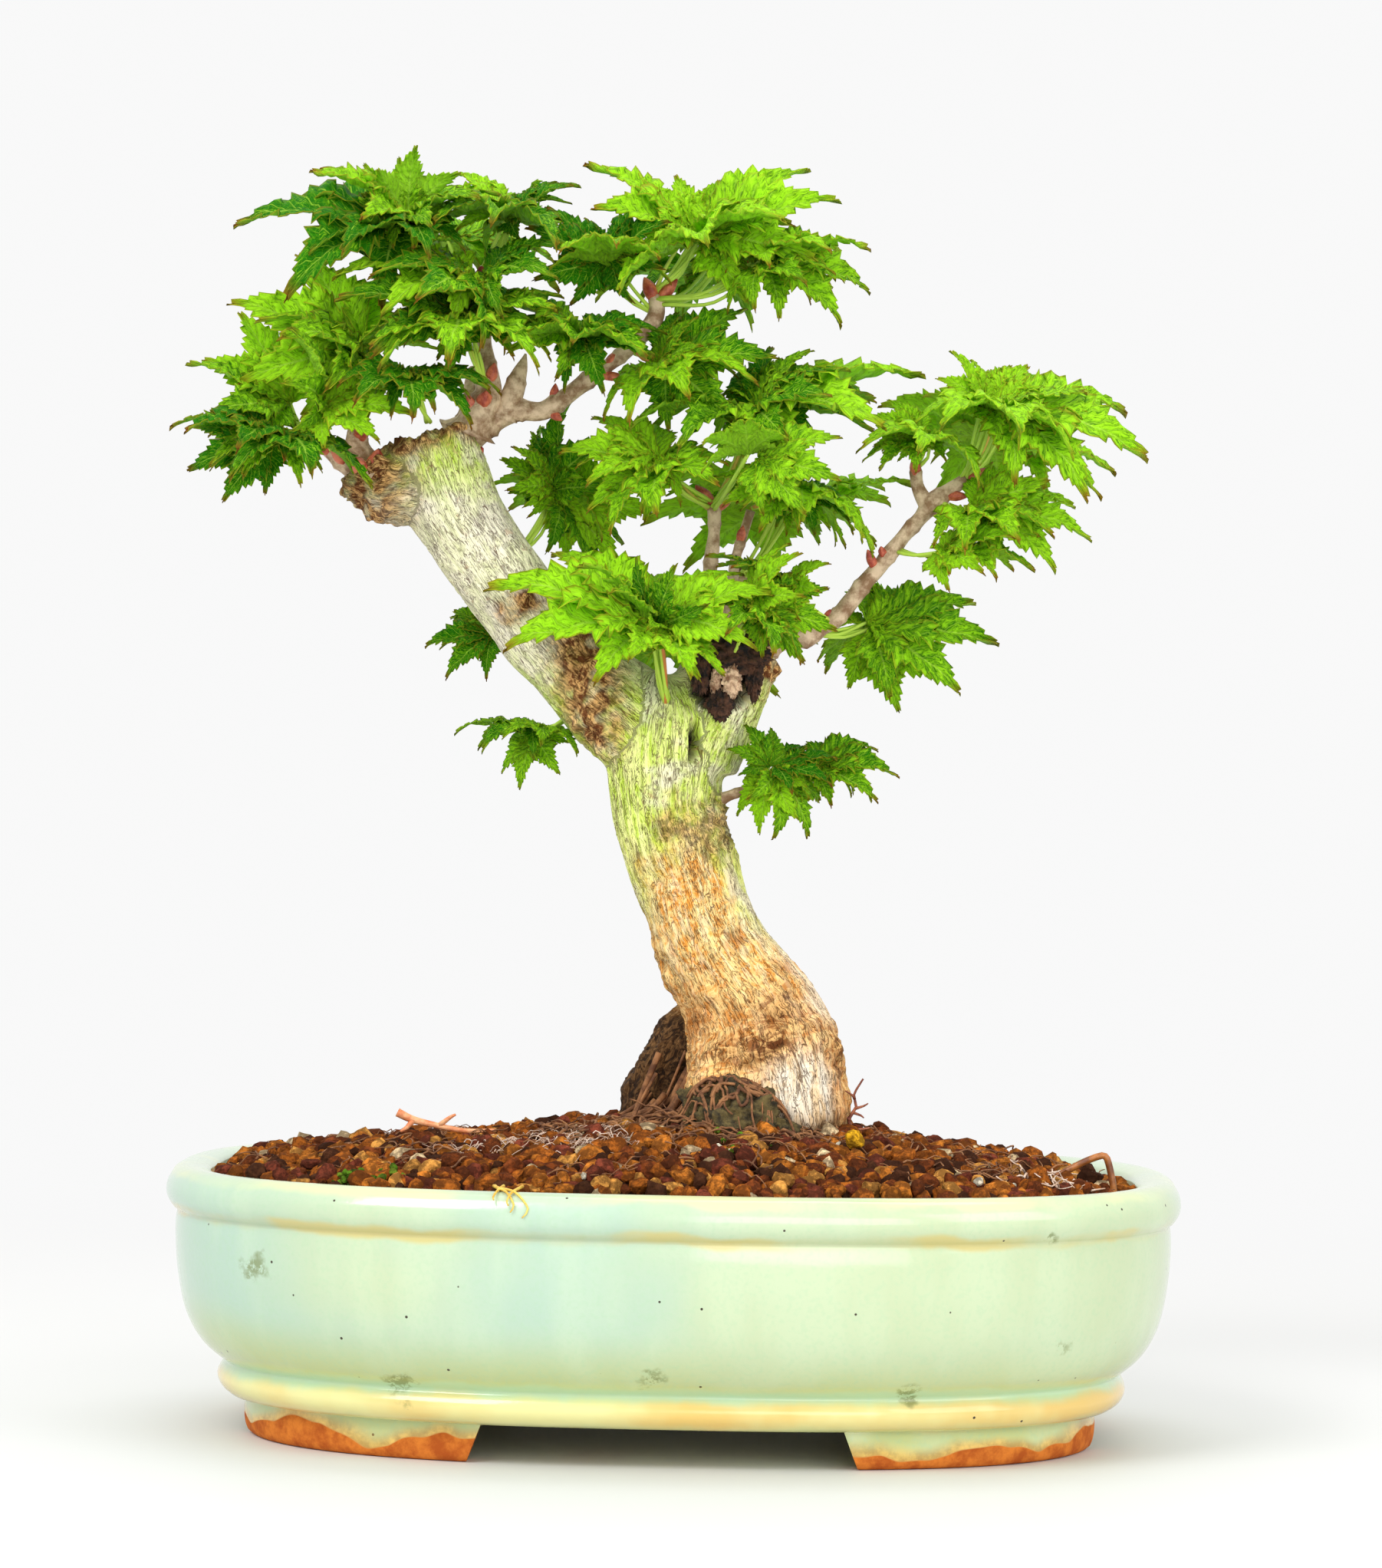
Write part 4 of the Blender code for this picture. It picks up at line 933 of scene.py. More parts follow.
def build_soil_bed(soil_paint):
    edge = HALF_LENGTH - RIM_WIDTH - 1.6
    rings = 34
    top = [(edge * (1.0 - index / rings), RIM_TOP) for index in range(rings + 1)]
    bottom = [(0.0, 17.2), (edge - 26.0, 17.2), (edge - 12.0, 22.0), (edge - 4.0, 36.0),
              (edge, RIM_TOP - 8.0)]
    body = turned_oval(top + bottom + [top[0]], 120)
    tone = body.verts.layers.float_color.new("tone")
    for vertex in body.verts:
        vertex[tone] = (0.040, 0.016, 0.008, 1.0)
        if vertex.co.z > RIM_TOP - 0.5:
            vertex.co.z = soil_height(vertex.co.x, vertex.co.y) - 1.0
            vertex.co.z += noise.fractal(vertex.co / 3.0, 0.8, 2.0, 3) * 1.2
    bmesh.ops.recalc_face_normals(body, faces=body.faces)
    finish_piece(body, "soil_bed", [soil_paint], ["soil"])


GRAIN_SHAPES = 14
GRAIN_CUTS = 7
GRAIN_TONES = [  # colour, share of the grains
    ((0.40, 0.115, 0.016), 24), ((0.58, 0.19, 0.026), 16), ((0.20, 0.050, 0.013), 21),
    ((0.20, 0.046, 0.024), 13), ((0.68, 0.31, 0.065), 9), ((0.070, 0.026, 0.012), 14),
    ((0.80, 0.60, 0.34), 3),
]


def random_way(rng):
    return Vector((rng.gauss(0, 1), rng.gauss(0, 1), rng.gauss(0, 1))).normalized()


def oval_spot(spot, angle, share):
    """The (x, y) at this angle and share of the way out in (x, y, half length, half width)."""
    return spot[0] + spot[2] * share * math.cos(angle), spot[1] + spot[3] * share * math.sin(angle)


def grain_shapes(rng):
    """Broken lumps, each an icosphere pulled about and cut flat in places."""
    shapes = []
    for index in range(GRAIN_SHAPES):
        body = bmesh.new()
        bmesh.ops.create_icosphere(body, subdivisions=2, radius=1.0)
        cuts = [random_way(rng) for _ in range(GRAIN_CUTS)]
        for vertex in body.verts:
            for cut in cuts:
                over = vertex.co.dot(cut) - 0.66
                if over > 0.0:
                    vertex.co -= cut * over * 0.9
            vertex.co *= 1.0 + 0.22 * noise.noise(vertex.co * 1.7 + Vector((index * 7.0, 0, 0)))
        body.verts.layers.float_color.new("tone")
        shapes.append(as_mesh(body, "grain"))
    return shapes


def scatter_grains(name, count, rng, soil_paint, size, lift, shares, spot):
    """Grains over the whole bed, or inside an oval spot (x, y, half length, half width)."""
    shapes = grain_shapes(rng)
    tones = [tone for tone, share in shares for _ in range(share)]
    heap = bmesh.new()
    heap.verts.layers.float_color.new("tone")
    edge = HALF_LENGTH - RIM_WIDTH - 2.0
    placed = 0
    while placed < count:
        angle = rng.uniform(0, math.tau)
        share = math.sqrt(rng.random())
        if spot:
            x, y = oval_spot(spot, angle, share)
        else:
            x, y = oval(edge * share, angle)
        radius = rng.uniform(*size)
        trunk_side = math.hypot((x - TRUNK_FOOT.x - 2) / 19.0, y / 18.0)
        if trunk_side < 1.0 or math.hypot(x, y) > math.hypot(*oval(edge, math.atan2(y, x))):
            continue
        z = soil_height(x, y) + radius * rng.uniform(-0.25, lift)
        tone = rng.choice(tones)
        shade = rng.uniform(0.75, 1.3)
        turn = Matrix.Rotation(rng.uniform(0, math.tau), 4, random_way(rng))
        stretch = Matrix.Diagonal((radius * rng.uniform(0.8, 1.25), radius * rng.uniform(0.75, 1.1),
                                   radius * rng.uniform(0.7, 1.0), 1.0))
        grain = rng.choice(shapes).copy()
        grain.transform(Matrix.Translation((x, y, z)) @ turn @ stretch)
        colours = grain.attributes["tone"].data
        colours.foreach_set("color", [tone[0] * shade, tone[1] * shade, tone[2] * shade, 1.0] * len(colours))
        heap.from_mesh(grain)
        bpy.data.meshes.remove(grain)
        placed += 1
    for shape in shapes:
        bpy.data.meshes.remove(shape)
    finish_piece(heap, name, [soil_paint], ["soil"], smooth=False)


# ---------------------------------------------------------------- roots, moss and wires

MOSS_TONES = [((0.10, 0.22, 0.015), 3), ((0.22, 0.38, 0.03), 2), ((0.05, 0.10, 0.01), 2)]
GRAIN_HEAPS = [  # name, count, radii, highest lift in radii, tones, oval spot
    ("soil_grains_coarse", 1250, (2.4, 3.9), 0.5, GRAIN_TONES, None),
    ("soil_grains_fine", 1100, (1.1, 2.2), 1.1, GRAIN_TONES, None),
    ("soil_grains_front", 420, (2.0, 3.4), 0.6, GRAIN_TONES, (6.0, -62.0, 96.0, 17.0)),
    ("moss", 90, (0.5, 1.2), 3.6, MOSS_TONES, (-70.0, -66.0, 9.0, 4.0)),
    ("moss_by_clod", 60, (0.5, 1.1), 3.6, MOSS_TONES, (14.0, -42.0, 12.0, 8.0)),
    ("yellow_grain", 1, (2.6, 2.7), 4.0, [((0.95, 0.50, 0.02), 1)], (44.0, -40.0, 0.5, 0.5)),
    ("pale_chips", 14, (0.7, 1.5), 3.2, [((0.86, 0.80, 0.62), 1)], (0.0, -50.0, 90.0, 26.0)),
]
CLOD_CENTRE = TRUNK_FOOT + Vector((-6.0, -22.0, -4.0))
CLOD_HALF = Vector((14.0, 9.0, 12.0))
CLOD_LEAN = 0.22


def build_clod(paint):
    """The dark clod of moss and rootlets in front of the trunk."""
    body = bmesh.new()
    bmesh.ops.create_icosphere(body, subdivisions=6, radius=1.0)
    for vertex in body.verts:
        way = vertex.co.copy()
        rough = noise.fractal(way * 2.2, 0.9, 2.1, 6) * 0.30 - abs(noise.noise(way * 7.0)) * 0.16
        vertex.co *= 0.98 + rough
        vertex.co *= CLOD_HALF
        vertex.co.z -= CLOD_LEAN * vertex.co.x
    bmesh.ops.translate(body, vec=CLOD_CENTRE, verts=body.verts)
    finish_piece(body, "moss_clod", [paint], ["root_clump"])


def wander(start, steps, stride, rng, heading, hug=0.0):
    """A wandering line over the soil: (x, y, z) points that stay near its surface."""
    x, y, z = start
    line = [(x, y, z)]
    for _ in range(steps):
        heading += rng.gauss(0.0, 0.55)
        x += stride * math.cos(heading)
        y += stride * math.sin(heading)
        edge = oval(HALF_LENGTH - RIM_WIDTH - 2.5, math.atan2(y, x))
        if math.hypot(x, y) > math.hypot(*edge):
            break
        if hug:
            z += (soil_height(x, y) + rng.uniform(1.4, 4.4) - z) * hug
        else:
            z += rng.gauss(0.0, stride * 0.4)
        line.append((x, y, z))
    return line


def add_strand(body, line, radius, sides=5):
    last = len(line) - 1
    tapered = [(*point, radius * (1.0 - 0.6 * index / last)) for index, point in enumerate(line)]
    add_tube(body, smooth_path(tapered, 1.2), sides)


def build_strands(name, spot, count, radius, rng, paint, steps, stride):
    """Fine roots strewn over an oval spot (x, y, half length, half width) of the soil."""
    body = bmesh.new()
    made = 0
    while made < count:
        angle, share = rng.uniform(0, math.tau), math.sqrt(rng.random())
        x, y = oval_spot(spot, angle, share)
        line = wander((x, y, soil_height(x, y) + 2.0), steps, stride, rng, rng.uniform(0, math.tau), 0.7)
        if len(line) > 3:
            add_strand(body, line, radius * rng.uniform(0.6, 1.3))
            made += 1
    finish_piece(body, name, [paint], ["soil"])


def build_clod_roots(rng, paint):
    """Rootlets that run over the clod and down between it and the trunk."""
    body = bmesh.new()
    for _ in range(46):
        turn = rng.uniform(0.0, math.tau)
        x = CLOD_CENTRE.x + 13.0 * math.cos(turn) * rng.uniform(0.3, 1.0) - 3.0
        y = CLOD_CENTRE.y + 7.0 * math.sin(turn) * rng.uniform(0.3, 1.0)
        line = []
        heading = rng.uniform(0.0, math.tau)
        for _ in range(9):
            aside, forth = x - CLOD_CENTRE.x, y - CLOD_CENTRE.y
            flat = (aside / CLOD_HALF.x) ** 2 + (forth / CLOD_HALF.y) ** 2
            top = CLOD_CENTRE.z + CLOD_HALF.z * math.sqrt(max(0.0, 1.0 - flat)) - CLOD_LEAN * aside
            line.append((x, y, max(top, soil_height(x, y) + 1.0) + rng.uniform(-0.3, 1.0)))
            heading += rng.gauss(0.0, 0.6)
            x += 2.0 * math.cos(heading)
            y += 2.0 * math.sin(heading)
        add_strand(body, line, rng.uniform(0.25, 0.6))
    for _ in range(30):
        x, y = rng.uniform(-14.0, 3.0), rng.uniform(-8.0, 12.0)
        lean, rise = rng.uniform(-1.2, 0.2), rng.uniform(5.0, 19.0)
        foot = soil_height(x, y)
        line = [(x + 7.0, y + 2.0, foot + rise), (x + 4.0, y - 1.0 + rng.gauss(0, 1.0), foot + rise * 0.6),
                (x + rng.gauss(0, 1.2), y - 2.0, foot + 3.0), (x + 4.0 * lean, y - 3.0, foot + 0.8),
                (x + 8.0 * lean, y - 5.0 + rng.gauss(0, 2.0), foot - 1.5)]
        add_strand(body, line, rng.uniform(0.35, 1.4), 7)
    finish_piece(body, "clod_roots", [paint], ["root_clump"])


def build_dry_stalk(paint):
    """A dry orange leaf stalk that lies forked on the soil."""
    body = bmesh.new()
    y = -8.0
    main_line = [(-68.5, y, 77.8), (-65.0, y, 76.2), (-60.0, y, 75.0), (-52.0, y, 73.6), (-44.0, y, 73.8)]
    add_strand(body, main_line, 1.1, 8)
    add_strand(body, [(-64.5, y, 76.0), (-66.0, y - 1, 74.2), (-67.5, y - 2, 73.2)], 0.8, 8)
    add_strand(body, [(-58.0, y, 74.8), (-55.5, y - 1, 76.8), (-54.0, y - 1, 77.6)], 0.7, 8)
    finish_piece(body, "dry_leaf_stalk", [paint], ["dry_stalk"])


def build_rim_rootlet(paint):
    """Yellow strands that hang from the soil over the front rim."""
    body = bmesh.new()
    for x, lean, drop in ((-37.0, 2.6, 4.2), (-34.6, -1.4, 2.6), (-35.5, 4.4, 5.4), (-38.4, -0.8, 1.4)):
        front = HALF_WIDTH * (1.0 - (abs(x) / HALF_LENGTH) ** OVAL_POWER) ** (1.0 / OVAL_POWER)
        line = [(x - lean, 13.0 - front, RIM_TOP + 0.8), (x - 0.6 * lean, 7.0 - front, RIM_TOP + 0.8),
                (x + 0.3 * lean, 2.6 - front, RIM_TOP + 0.2), (x + lean, 0.2 - front, RIM_TOP - 0.6 * drop),
                (x + 0.7 * lean, -0.4 - front, RIM_TOP - drop)]
        add_strand(body, line, 0.42, 7)
    finish_piece(body, "rim_rootlet", [paint], ["soil"])


def build_dry_twig(paint):
    """A crooked dry rootlet standing to the right of the trunk."""
    body = bmesh.new()
    y = -4.0
    add_strand(body, [(42.0, y, 71.0), (43.5, y, 75.0), (42.8, y, 78.0), (44.6, y, 81.0), (44.0, y, 84.0),
                      (46.2, y, 88.0)], 0.6, 6)
    for start, end in (((43.2, 77.5), (40.2, 79.5)), ((44.4, 80.6), (47.5, 82.0)),
                       ((44.2, 83.0), (41.8, 85.0)), ((43.6, 75.2), (48.0, 76.0)),
                       ((44.0, 79.5), (46.5, 78.4))):
        middle = ((start[0] + end[0]) / 2 + 0.5, y - 0.6, (start[1] + end[1]) / 2)
        add_strand(body, [(start[0], y, start[1]), middle, (end[0], y - 1.0, end[1])], 0.42, 5)
    finish_piece(body, "dry_twig", [paint], ["soil"])


def build_wire(name, node, route, radius, paint):
    body = bmesh.new()
    add_tube(body, smooth_path([(*point, radius) for point in route], 0.8), 12)
    finish_piece(body, name, [paint], [node])


def tie_wire_route():
    end, y, under = HALF_LENGTH, WIRE_LINE, FOOT_TOP - 1.15
    near_hole, far_hole = WIRE_HOLES
    return [(near_hole, y, SOIL_FLOOR + 24.0), (near_hole, y, under + 3.0), (66.6, y, under + 0.7),
            (68.0, y, under), (84.0, y, under), (85.4, y, under + 0.7), (far_hole, y, under + 3.0),
            (far_hole, y, RIM_TOP - 16.0),
            (87.5, y, RIM_TOP - 7.0), (end - 34.0, y, RIM_TOP - 1.0), (end - 27.0, y, RIM_TOP + 3.6),
            (end - 21.8, y, RIM_TOP + 6.0), (end - 19.8, y, RIM_TOP + 6.2), (end - 18.9, y, RIM_TOP + 4.4),
            (end - 17.8, y, RIM_TOP - 0.5), (end - 17.4, y, RIM_TOP - 5.0)]


def clip_route(x):
    under, over, leg, wing = FOOT_TOP - 0.9, SOIL_FLOOR + 2.4, 3.5, DRAIN_RADIUS + 5.0
    side = x + leg
    return [(side, -wing, under), (side, -leg - 1.4, under), (side, -leg - 0.2, under + 0.5),
            (side, -leg, under + 2.0), (side, -leg, over - 1.2), (side, -leg + 1.0, over),
            (side, leg - 1.0, over), (side, leg, over - 1.2), (side, leg, under + 2.0),
            (side, leg + 0.2, under + 0.5), (side, leg + 1.4, under), (side, wing, under)]


def build_netting(name, node, x, paint):
    """A square of plastic netting over a drain hole: a grid turned into bars."""
    body = bmesh.new()
    bmesh.ops.create_grid(body, x_segments=4, y_segments=4, size=12.85)
    bmesh.ops.wireframe(body, faces=body.faces[:], thickness=1.3, use_boundary=True, use_even_offset=True,
                        use_replace=True)
    for vertex in body.verts:
        vertex.co.z = math.copysign(0.6, vertex.co.z)
    bmesh.ops.translate(body, vec=(x, 0.0, SOIL_FLOOR + 0.9), verts=body.verts)
    bmesh.ops.recalc_face_normals(body, faces=body.faces)
    finish_piece(body, name, [paint], [node], smooth=False)


# ---------------------------------------------------------------- leaves

# Each tuft, from the trunk's foot: where its stalks start, where its blades meet, and their tips.
TUFTS = {
    "leaves_crown_left": ((-74, -2, 204), (-92, -6, 217), [
        (-135, -8, 217), (-114, -22, 228), (-89, -14, 236), (-73, -26, 222), (-104, -36, 208)]),
    "leaves_crown_left_rear": ((-75, 4, 203), (-86, 20, 216), [
        (-121, 30, 213), (-92, 50, 214), (-58, 44, 214)]),
    "leaves_crown_middle": ((-73, 3, 206), (-67, -1, 219), [
        (-82, 12, 233), (-52, -6, 228), (-69, -34, 217), (-60, 20, 229)]),
    "leaves_round_bud": ((-74, -3, 199), (-74, -12, 205), [
        (-108, -24, 204), (-54, -30, 204), (-84, -44, 196)]),
    "leaves_left_shoot": ((-72, -3, 178), (-77, -14, 193), [
        (-107, -24, 200), (-53, -28, 196), (-79, -48, 182), (-98, -38, 185)]),
    "leaves_left_shoulder": ((-104, 2, 171), (-101, -1, 185), [
        (-135, -6, 200), (-121, -28, 189), (-93, -24, 194)]),
    "leaves_far_left_top": ((-115, 1, 166), (-121, 0, 172), [
        (-135, 4, 196), (-145, -8, 183), (-137, 24, 176)]),
    "leaves_far_left_low": ((-116, -3, 162), (-122, -10, 165), [
        (-145, -14, 156), (-129, -30, 153), (-110, -38, 154), (-144, -30, 166)]),
    "leaves_far_left_face": ((-110, -4, 164), (-113, -18, 171), [
        (-117, -30, 190), (-88, -24, 170)]),
    "leaves_inner_left": ((-86, -12, 170), (-91, -18, 180), [
        (-70, -34, 176), (-86, -44, 168)]),
    "leaves_behind_limb": ((-62, 13, 138), (-56, 16, 152), [
        (-61, 22, 169), (-53, 18, 176), (-31, 22, 147), (-38, 30, 141), (-52, 44, 142)]),
    "leaves_crown_right": ((-30, -1, 203), (-21, -4, 214), [
        (-48, -8, 233), (-26, 4, 232), (0, 0, 231), (14, -14, 224), (-20, -42, 210)]),
    "leaves_crown_right_end": ((-29, -3, 200), (-6, -10, 208), [
        (22, -12, 214), (23, -4, 204), (6, -30, 202), (4, 14, 214)]),
    "leaves_crown_right_rear": ((-29, 3, 199), (-16, 18, 211), [
        (14, 30, 210), (-18, 50, 210), (-48, 42, 208)]),
    "leaves_crown_right_left": ((-32, 0, 198), (-43, -6, 208), [
        (-62, -14, 215), (-40, -34, 212), (-28, -20, 218)]),
    "leaves_row": ((-45, -2, 185), (-48, -10, 190), [
        (-72, -18, 198), (-30, -24, 184), (-50, -42, 186)]),
    "leaves_row_end": ((-34, -3, 186), (-30, -6, 183), [
        (-20, -10, 195), (0, -12, 185), (-20, -34, 176)]),
    "leaves_middle_top": ((-15, -1, 150), (-6, -8, 172), [
        (8, -8, 188), (36, -6, 183), (-36, -14, 170), (14, -30, 176), (24, 8, 178)]),
    "leaves_middle_face": ((-14, -4, 149), (-6, -26, 160), [
        (16, -38, 154), (-8, -44, 168)]),
    "leaves_middle_left": ((-17, -2, 150), (-28, -8, 160), [
        (-53, -12, 162), (-45, -22, 153), (-28, -36, 146), (-30, 16, 156)]),
    "leaves_middle_right": ((-5, -2, 150), (3, -8, 153), [
        (19, -14, 146), (-13, -22, 149), (22, -30, 142)]),
    "leaves_middle_rear": ((-8, 20, 136), (2, 22, 150), [
        (34, 22, 158), (20, 44, 148), (-20, 48, 152), (-34, 28, 148)]),
    "leaves_right_top": ((46, -3, 160), (52, -6, 174), [
        (43, -8, 188), (58, 4, 186), (92, -8, 163), (76, -10, 178), (58, -38, 168)]),
    "leaves_right_top_left": ((35, -2, 161), (37, -6, 166), [
        (23, -8, 172), (25, -18, 158), (36, -34, 162)]),
    "leaves_right_rear": ((45, 1, 158), (54, 16, 168), [
        (86, 28, 162), (58, 48, 164), (28, 38, 168)]),
    "leaves_right_low": ((42, -4, 151), (48, -6, 149), [
        (78, -10, 142), (67, -16, 155), (60, -30, 141)]),
    "leaves_right_side": ((33, -5, 138), (40, -10, 137), [
        (64, -14, 134), (58, -24, 142)]),
    "leaves_right_under": ((11, 3, 119), (22, 8, 120), [
        (44, 10, 106), (56, 6, 115), (44, 24, 122), (24, 32, 112)]),
    "leaves_branch_left": ((12, -4, 122), (3, -12, 128), [
        (-16, -16, 137), (11, -26, 128)]),
    "leaves_fork_front": ((-26, -17, 103), (-28, -26, 118), [
        (-70, -22, 129), (-45, -34, 134), (-24, -40, 133), (0, -30, 127), (-20, -48, 106)]),
    "leaves_fork_right": ((-13, -14, 110), (-6, -20, 124), [
        (16, -20, 118), (2, -38, 112), (6, -30, 136)]),
    "leaves_fork_rear": ((-24, 17, 100), (-20, 28, 116), [
        (-50, 40, 118), (-20, 56, 112), (10, 44, 116)]),
    "leaves_limb_back": ((-62, 12, 116), (-70, 16, 117), [
        (-88, 18, 115), (-82, 24, 123), (-66, 40, 112)]),
    "leaves_limb_under": ((-52, 8, 95), (-58, 8, 93), [
        (-79, 6, 93), (-62, 4, 78), (-56, -10, 90)]),
    "leaves_low_right": ((-3.5, -3.5, 80), (1, -9, 84), [
        (-7, -8, 95), (-3, -12, 68), (10, -6, 67), (9, 8, 88)]),
    "leaves_low_right_out": ((-3.5, -1, 80.5), (10, 3, 85), [
        (32, 2, 84), (22, 18, 80)]),
}

# angle, length and half width of each lobe, the last two as shares of the blade's length
LOBES = ((0.0, 1.0, 0.25), (37.0, 0.90, 0.23), (-37.0, 0.90, 0.23),
         (76.0, 0.62, 0.19), (-76.0, 0.62, 0.19))
TEETH = 10
LEAF_THICK = 0.22
REAR_LINE = 12.0         # tufts behind this line have their extra blades in front
SUNNY_LINE = -40.0       # tufts to the right of this line are lighter


def lobe_half_width(share):
    """Half width of a lobe along its length: widening from the stalk, then a long point."""
    if share < 0.42:
        return 0.12 + 0.88 * (share / 0.42) ** 0.9
    return ((1.0 - share) / 0.58) ** 1.15


def add_lobe(body, layers, angle, length, width, leaf, rng):
    """One toothed lobe, folded up along its midrib and corrugated along its side veins."""
    uv, tone = layers
    steps = TEETH * 3 + 2
    grid = bmesh.ops.create_grid(body, x_segments=steps, y_segments=6, size=1.0)["verts"]
    turn = Matrix.Rotation(math.radians(angle), 3, "Z")
    seed = rng.uniform(0, 50)
    places = {}
    for vertex in grid:
        share = (vertex.co.x + 1.0) / 2.0
        across = vertex.co.y
        places[vertex] = (share, across)
        edge = abs(across) ** 3
        half = width * lobe_half_width(share)
        tooth = 0.0
        if 0.16 < share < 0.95:
            tooth = (share - 0.16) / 0.79 * TEETH % 1.0
        reach = half * (1.0 + edge * (0.50 * tooth - 0.18))
        forward = share + edge * 0.06 * tooth - 0.10 * edge * half
        wave = math.cos(math.tau * TEETH * (share - 0.22 * abs(across)))
        lift = leaf["fold"] * abs(across) * half + 0.026 * wave * abs(across) * min(1.0, 3.0 * (1.0 - share))
        lift += 0.05 * noise.noise(Vector((share * 4.0, across * 2.0, seed)))
        lift += 0.018 * noise.noise(Vector((share * 13.0, across * 4.0, seed)))
        flat = turn @ Vector((forward, across * reach, 0.0))
        radius = flat.length
        lift += leaf["arch"] * 4.0 * radius * (1.0 - radius) - leaf["cup"] * flat.y ** 2
        curl = leaf["curl"] * max(0.0, share - 0.7) ** 2
        vertex.co = Vector((flat.x, flat.y, lift - curl)) * length
        vertex[tone] = (leaf["light"], leaf["autumn"], 0.0, 1.0)
    for face in {face for vertex in grid for face in vertex.link_faces}:
        face.smooth = True
        for loop in face.loops:
            loop[uv].uv = places[loop.vert]


def leaf_mesh(length, leaf, rng):
    body = bmesh.new()
    layers = body.loops.layers.uv.new("blade"), body.verts.layers.float_color.new("tone")
    for angle, share, width in LOBES:
        spread = angle * leaf["spread"] + rng.uniform(-4, 4)
        add_lobe(body, layers, spread, 1.0, width / share, leaf, rng)
        new = [vertex for vertex in body.verts if not vertex.tag]
        for vertex in new:
            vertex.tag = True
            vertex.co *= share * length
    return as_mesh(body, "leaf")


def leaf_place(base, tip, tilt, roll):
    """The leaf from base to tip, its face turned up, and forwards by the tilt."""
    along = (tip - base).normalized()
    face = Vector((0.0, -tilt, 1.0 - abs(tilt)))
    face = (face - along * face.dot(along)).normalized()
    face = Matrix.Rotation(roll, 3, along) @ face
    side = face.cross(along)
    return Matrix.Translation(base) @ Matrix((along, side, face)).transposed().to_4x4()


def on_the_wood(foot, rows):
    """The foot of a stalk moved to just under the skin of the nearest limb or twig."""
    nearest = min(rows, key=lambda row: (foot - Vector(row[:3])).length - row[3])
    inwards = Vector(nearest[:3]) - foot
    return foot + inwards.normalized() * max(0.0, inwards.length - nearest[3] * 0.8)


def stalk_path(start, end, rng):
    """A thin stalk that rises a little before it reaches the blade."""
    sag = (end - start).length * rng.uniform(0.05, 0.14)
    start = start + Vector((rng.uniform(-1.0, 1.0), rng.uniform(-0.4, 0.4), rng.uniform(-1.6, 0.6)))
    middle = start.lerp(end, 0.5) + Vector((rng.uniform(-1.2, 1.2), rng.uniform(-0.8, 0.8), -sag))
    return smooth_path([(*start, 0.50), (*middle, 0.33), (*end, 0.42)], 2.5)


def build_tuft(name, paints, wood_rows, rng):
    foot, hub, tips = TUFTS[name]
    foot = on_the_wood(Vector(foot), wood_rows)
    hub = Vector(hub)
    tuft = bmesh.new()
    tuft.loops.layers.uv.new("blade")
    tone = tuft.verts.layers.float_color.new("tone")
    blades = [Vector(tip) for tip in tips]
    middle = sum((Vector(tip) for tip in tips), Vector()) / len(tips)
    rearwards = 1.0 if hub.y < REAR_LINE else -1.0
    sunny = 0.60 if hub.x > SUNNY_LINE else 0.50
    for _ in range(max(0, len(tips) - 3)):
        swing = Vector((rng.uniform(-1, 1), rearwards * rng.uniform(0, 1), rng.uniform(-0.1, 0.7)))
        blades.append(hub + swing.normalized() * rng.uniform(14, 20) + (middle - hub) * 0.3)
    for tip in blades:
        base = hub.lerp(tip, 0.06) + Vector((rng.uniform(-1, 1), rng.uniform(-1, 1), rng.uniform(-1, 1)))
        length = (tip - base).length
        leaf = {"fold": rng.uniform(0.25, 0.65), "arch": rng.uniform(0.02, 0.09),
                "cup": rng.uniform(0.1, 0.5), "curl": rng.uniform(0.2, 1.4),
                "light": min(max(rng.gauss(sunny, 0.22), 0.05), 0.95),
                "autumn": rng.uniform(0.4, 1.0), "spread": rng.uniform(0.85, 1.15)}
        mesh = leaf_mesh(length, leaf, rng)
        roll = math.radians(rng.gauss(0, 22))
        tilt = rng.uniform(-0.3, 0.1) if name.endswith("_rear") else rng.uniform(0.25, 0.62)
        mesh.transform(leaf_place(base, tip, tilt, roll))
        tuft.from_mesh(mesh)
        bpy.data.meshes.remove(mesh)
        faces_before = len(tuft.faces)
        stalk = add_tube(tuft, stalk_path(foot, base, rng), 6)
        redness = rng.random() ** 3
        for vertex in stalk:
            vertex[tone] = (0.5, redness, 0.0, 1.0)
        tuft.faces.ensure_lookup_table()
        for face in tuft.faces[faces_before:]:
            face.material_index = 2
            face.smooth = True
    bmesh.ops.translate(tuft, vec=TRUNK_FOOT, verts=tuft.verts)
    piece = finish_piece(tuft, name.replace("leaves", "foliage"), paints, [name], smooth=False)
    thick = piece.modifiers.new("thickness", "SOLIDIFY")
    thick.thickness = LEAF_THICK * MM
    thick.offset = 0.0
    thick.material_offset = 1


# ---------------------------------------------------------------- assembly


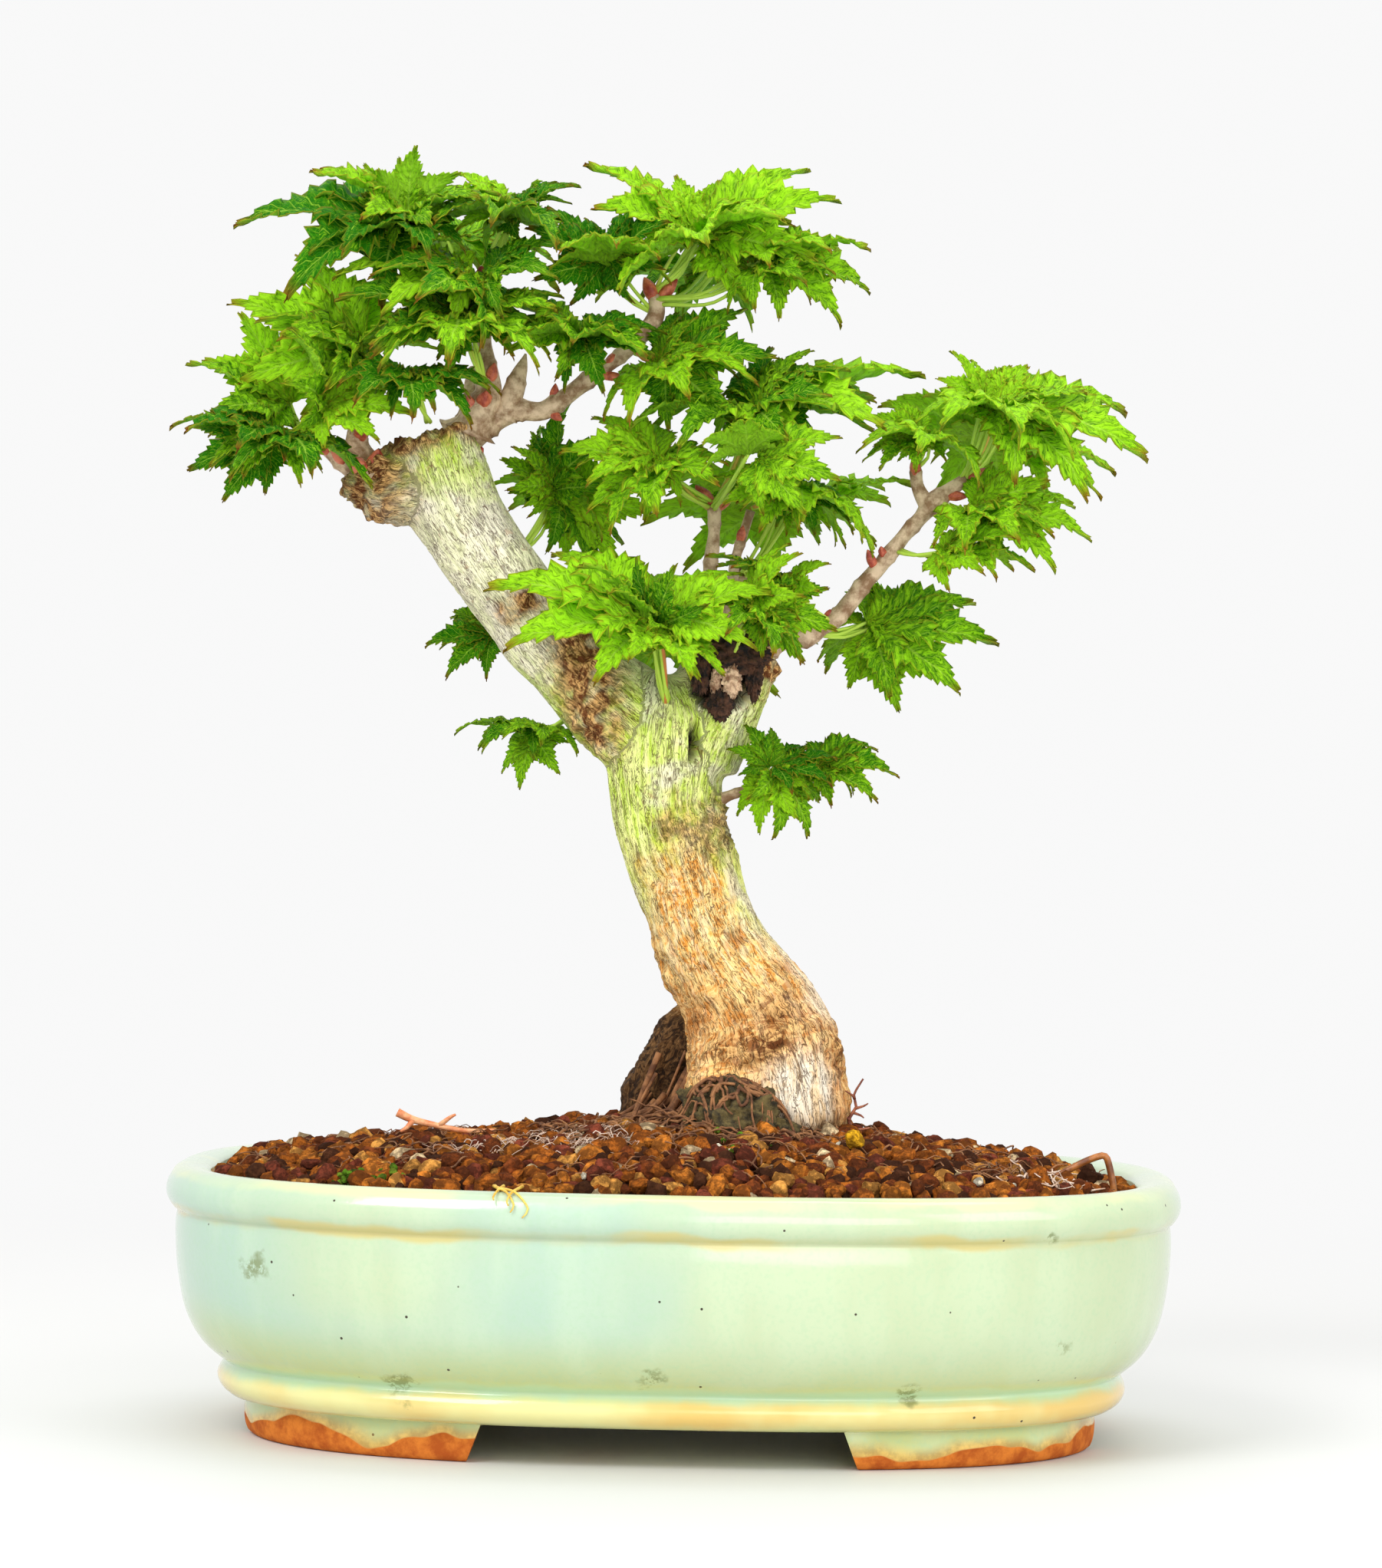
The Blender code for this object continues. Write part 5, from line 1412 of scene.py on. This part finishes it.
PLAIN_PAINTS = {  # dark, light, scale, roughness, bump
    "twig_bark": ((0.26, 0.14, 0.065), (0.72, 0.54, 0.36), 240.0, 0.7, 0.8),
    "dead_wood": ((0.004, 0.003, 0.002), (0.10, 0.040, 0.018), 420.0, 0.9, 1.0),
    "split_wood": ((0.24, 0.11, 0.05), (0.88, 0.62, 0.40), 420.0, 0.8, 0.8),
    "bud_scales": ((0.30, 0.030, 0.016), (0.74, 0.20, 0.10), 300.0, 0.5, 0.3),
    "pale_roots": ((0.48, 0.30, 0.20), (0.82, 0.66, 0.54), 300.0, 0.8, 0.3),
    "brown_roots": ((0.10, 0.035, 0.012), (0.34, 0.15, 0.055), 260.0, 0.85, 0.3),
    "moss_and_peat": ((0.022, 0.016, 0.006), (0.14, 0.10, 0.030), 330.0, 0.95, 1.0),
    "dry_orange": ((0.66, 0.20, 0.07), (0.90, 0.48, 0.24), 260.0, 0.6, 0.3),
    "yellow_root": ((0.62, 0.34, 0.03), (0.86, 0.62, 0.12), 300.0, 0.6, 0.3),
    "dry_root": ((0.16, 0.04, 0.02), (0.46, 0.16, 0.08), 300.0, 0.7, 0.3),
    "browned_wire": ((0.16, 0.045, 0.010), (0.50, 0.18, 0.040), 180.0, 0.38, 0.3),
    "black_netting": ((0.010, 0.010, 0.010), (0.035, 0.035, 0.035), 400.0, 0.5, 0.3),
}
STRANDS = [  # name, oval spot, count, radius, paint, steps, stride
    ("pale_roots_left", (-30.0, -34.0, 18.0, 16.0), 52, 0.13, "pale_roots", 12, 1.5),
    ("pale_roots_right", (92.0, -34.0, 10.0, 12.0), 12, 0.3, "pale_roots", 9, 2.2),
    ("brown_roots_all", (0.0, 0.0, 105.0, 72.0), 190, 0.26, "brown_roots", 9, 2.2),
    ("brown_roots_near", (4.0, -18.0, 34.0, 30.0), 90, 0.42, "brown_roots", 9, 2.2),
]


def build_all():
    place_camera()
    light_studio()
    lay_floor()
    plain = {name: plain_paint(name, *look) for name, look in PLAIN_PAINTS.items()}
    glaze = glaze_paint()
    build_pot(glaze)
    build_feet(glaze)
    build_trunk(bark_paint())
    build_twigs(plain["twig_bark"])
    build_wound(plain["dead_wood"], plain["split_wood"])
    build_buds(plain["bud_scales"])
    soil = grain_paint()
    build_soil_bed(soil)
    rng = random.Random(7)
    for heap in GRAIN_HEAPS:
        scatter_grains(*heap[:2], rng, soil, *heap[2:])
    for name, spot, count, radius, paint, steps, stride in STRANDS:
        build_strands(name, spot, count, radius, rng, plain[paint], steps, stride)
    build_clod(plain["moss_and_peat"])
    build_clod_roots(rng, plain["brown_roots"])
    build_dry_stalk(plain["dry_orange"])
    build_rim_rootlet(plain["yellow_root"])
    build_dry_twig(plain["dry_root"])
    build_wire("bonsai_tie_wire", "tie_wire", tie_wire_route(), 0.85, plain["browned_wire"])
    for side, x in (("left", -DRAIN_OFFSET), ("right", DRAIN_OFFSET)):
        build_wire("clip_" + side, "mesh_clip_" + side, clip_route(x), 0.6, plain["browned_wire"])
        build_netting("netting_" + side, "drain_mesh_" + side, x, plain["black_netting"])
    upper = leaf_paint("leaf_upper", (0.032, 0.26, 0.003), (0.50, 0.96, 0.020))
    under = leaf_paint("leaf_under", (0.10, 0.42, 0.010), (0.46, 0.88, 0.02), underside=True)
    stalks = stalk_paint()
    wood_rows = [row for table in (LIMBS, TWIGS) for points in table.values()
                 for row in smooth_path(points, 2.0)]
    for name in TUFTS:
        build_tuft(name, [upper, under, stalks], wood_rows, random.Random(name))


build_all()
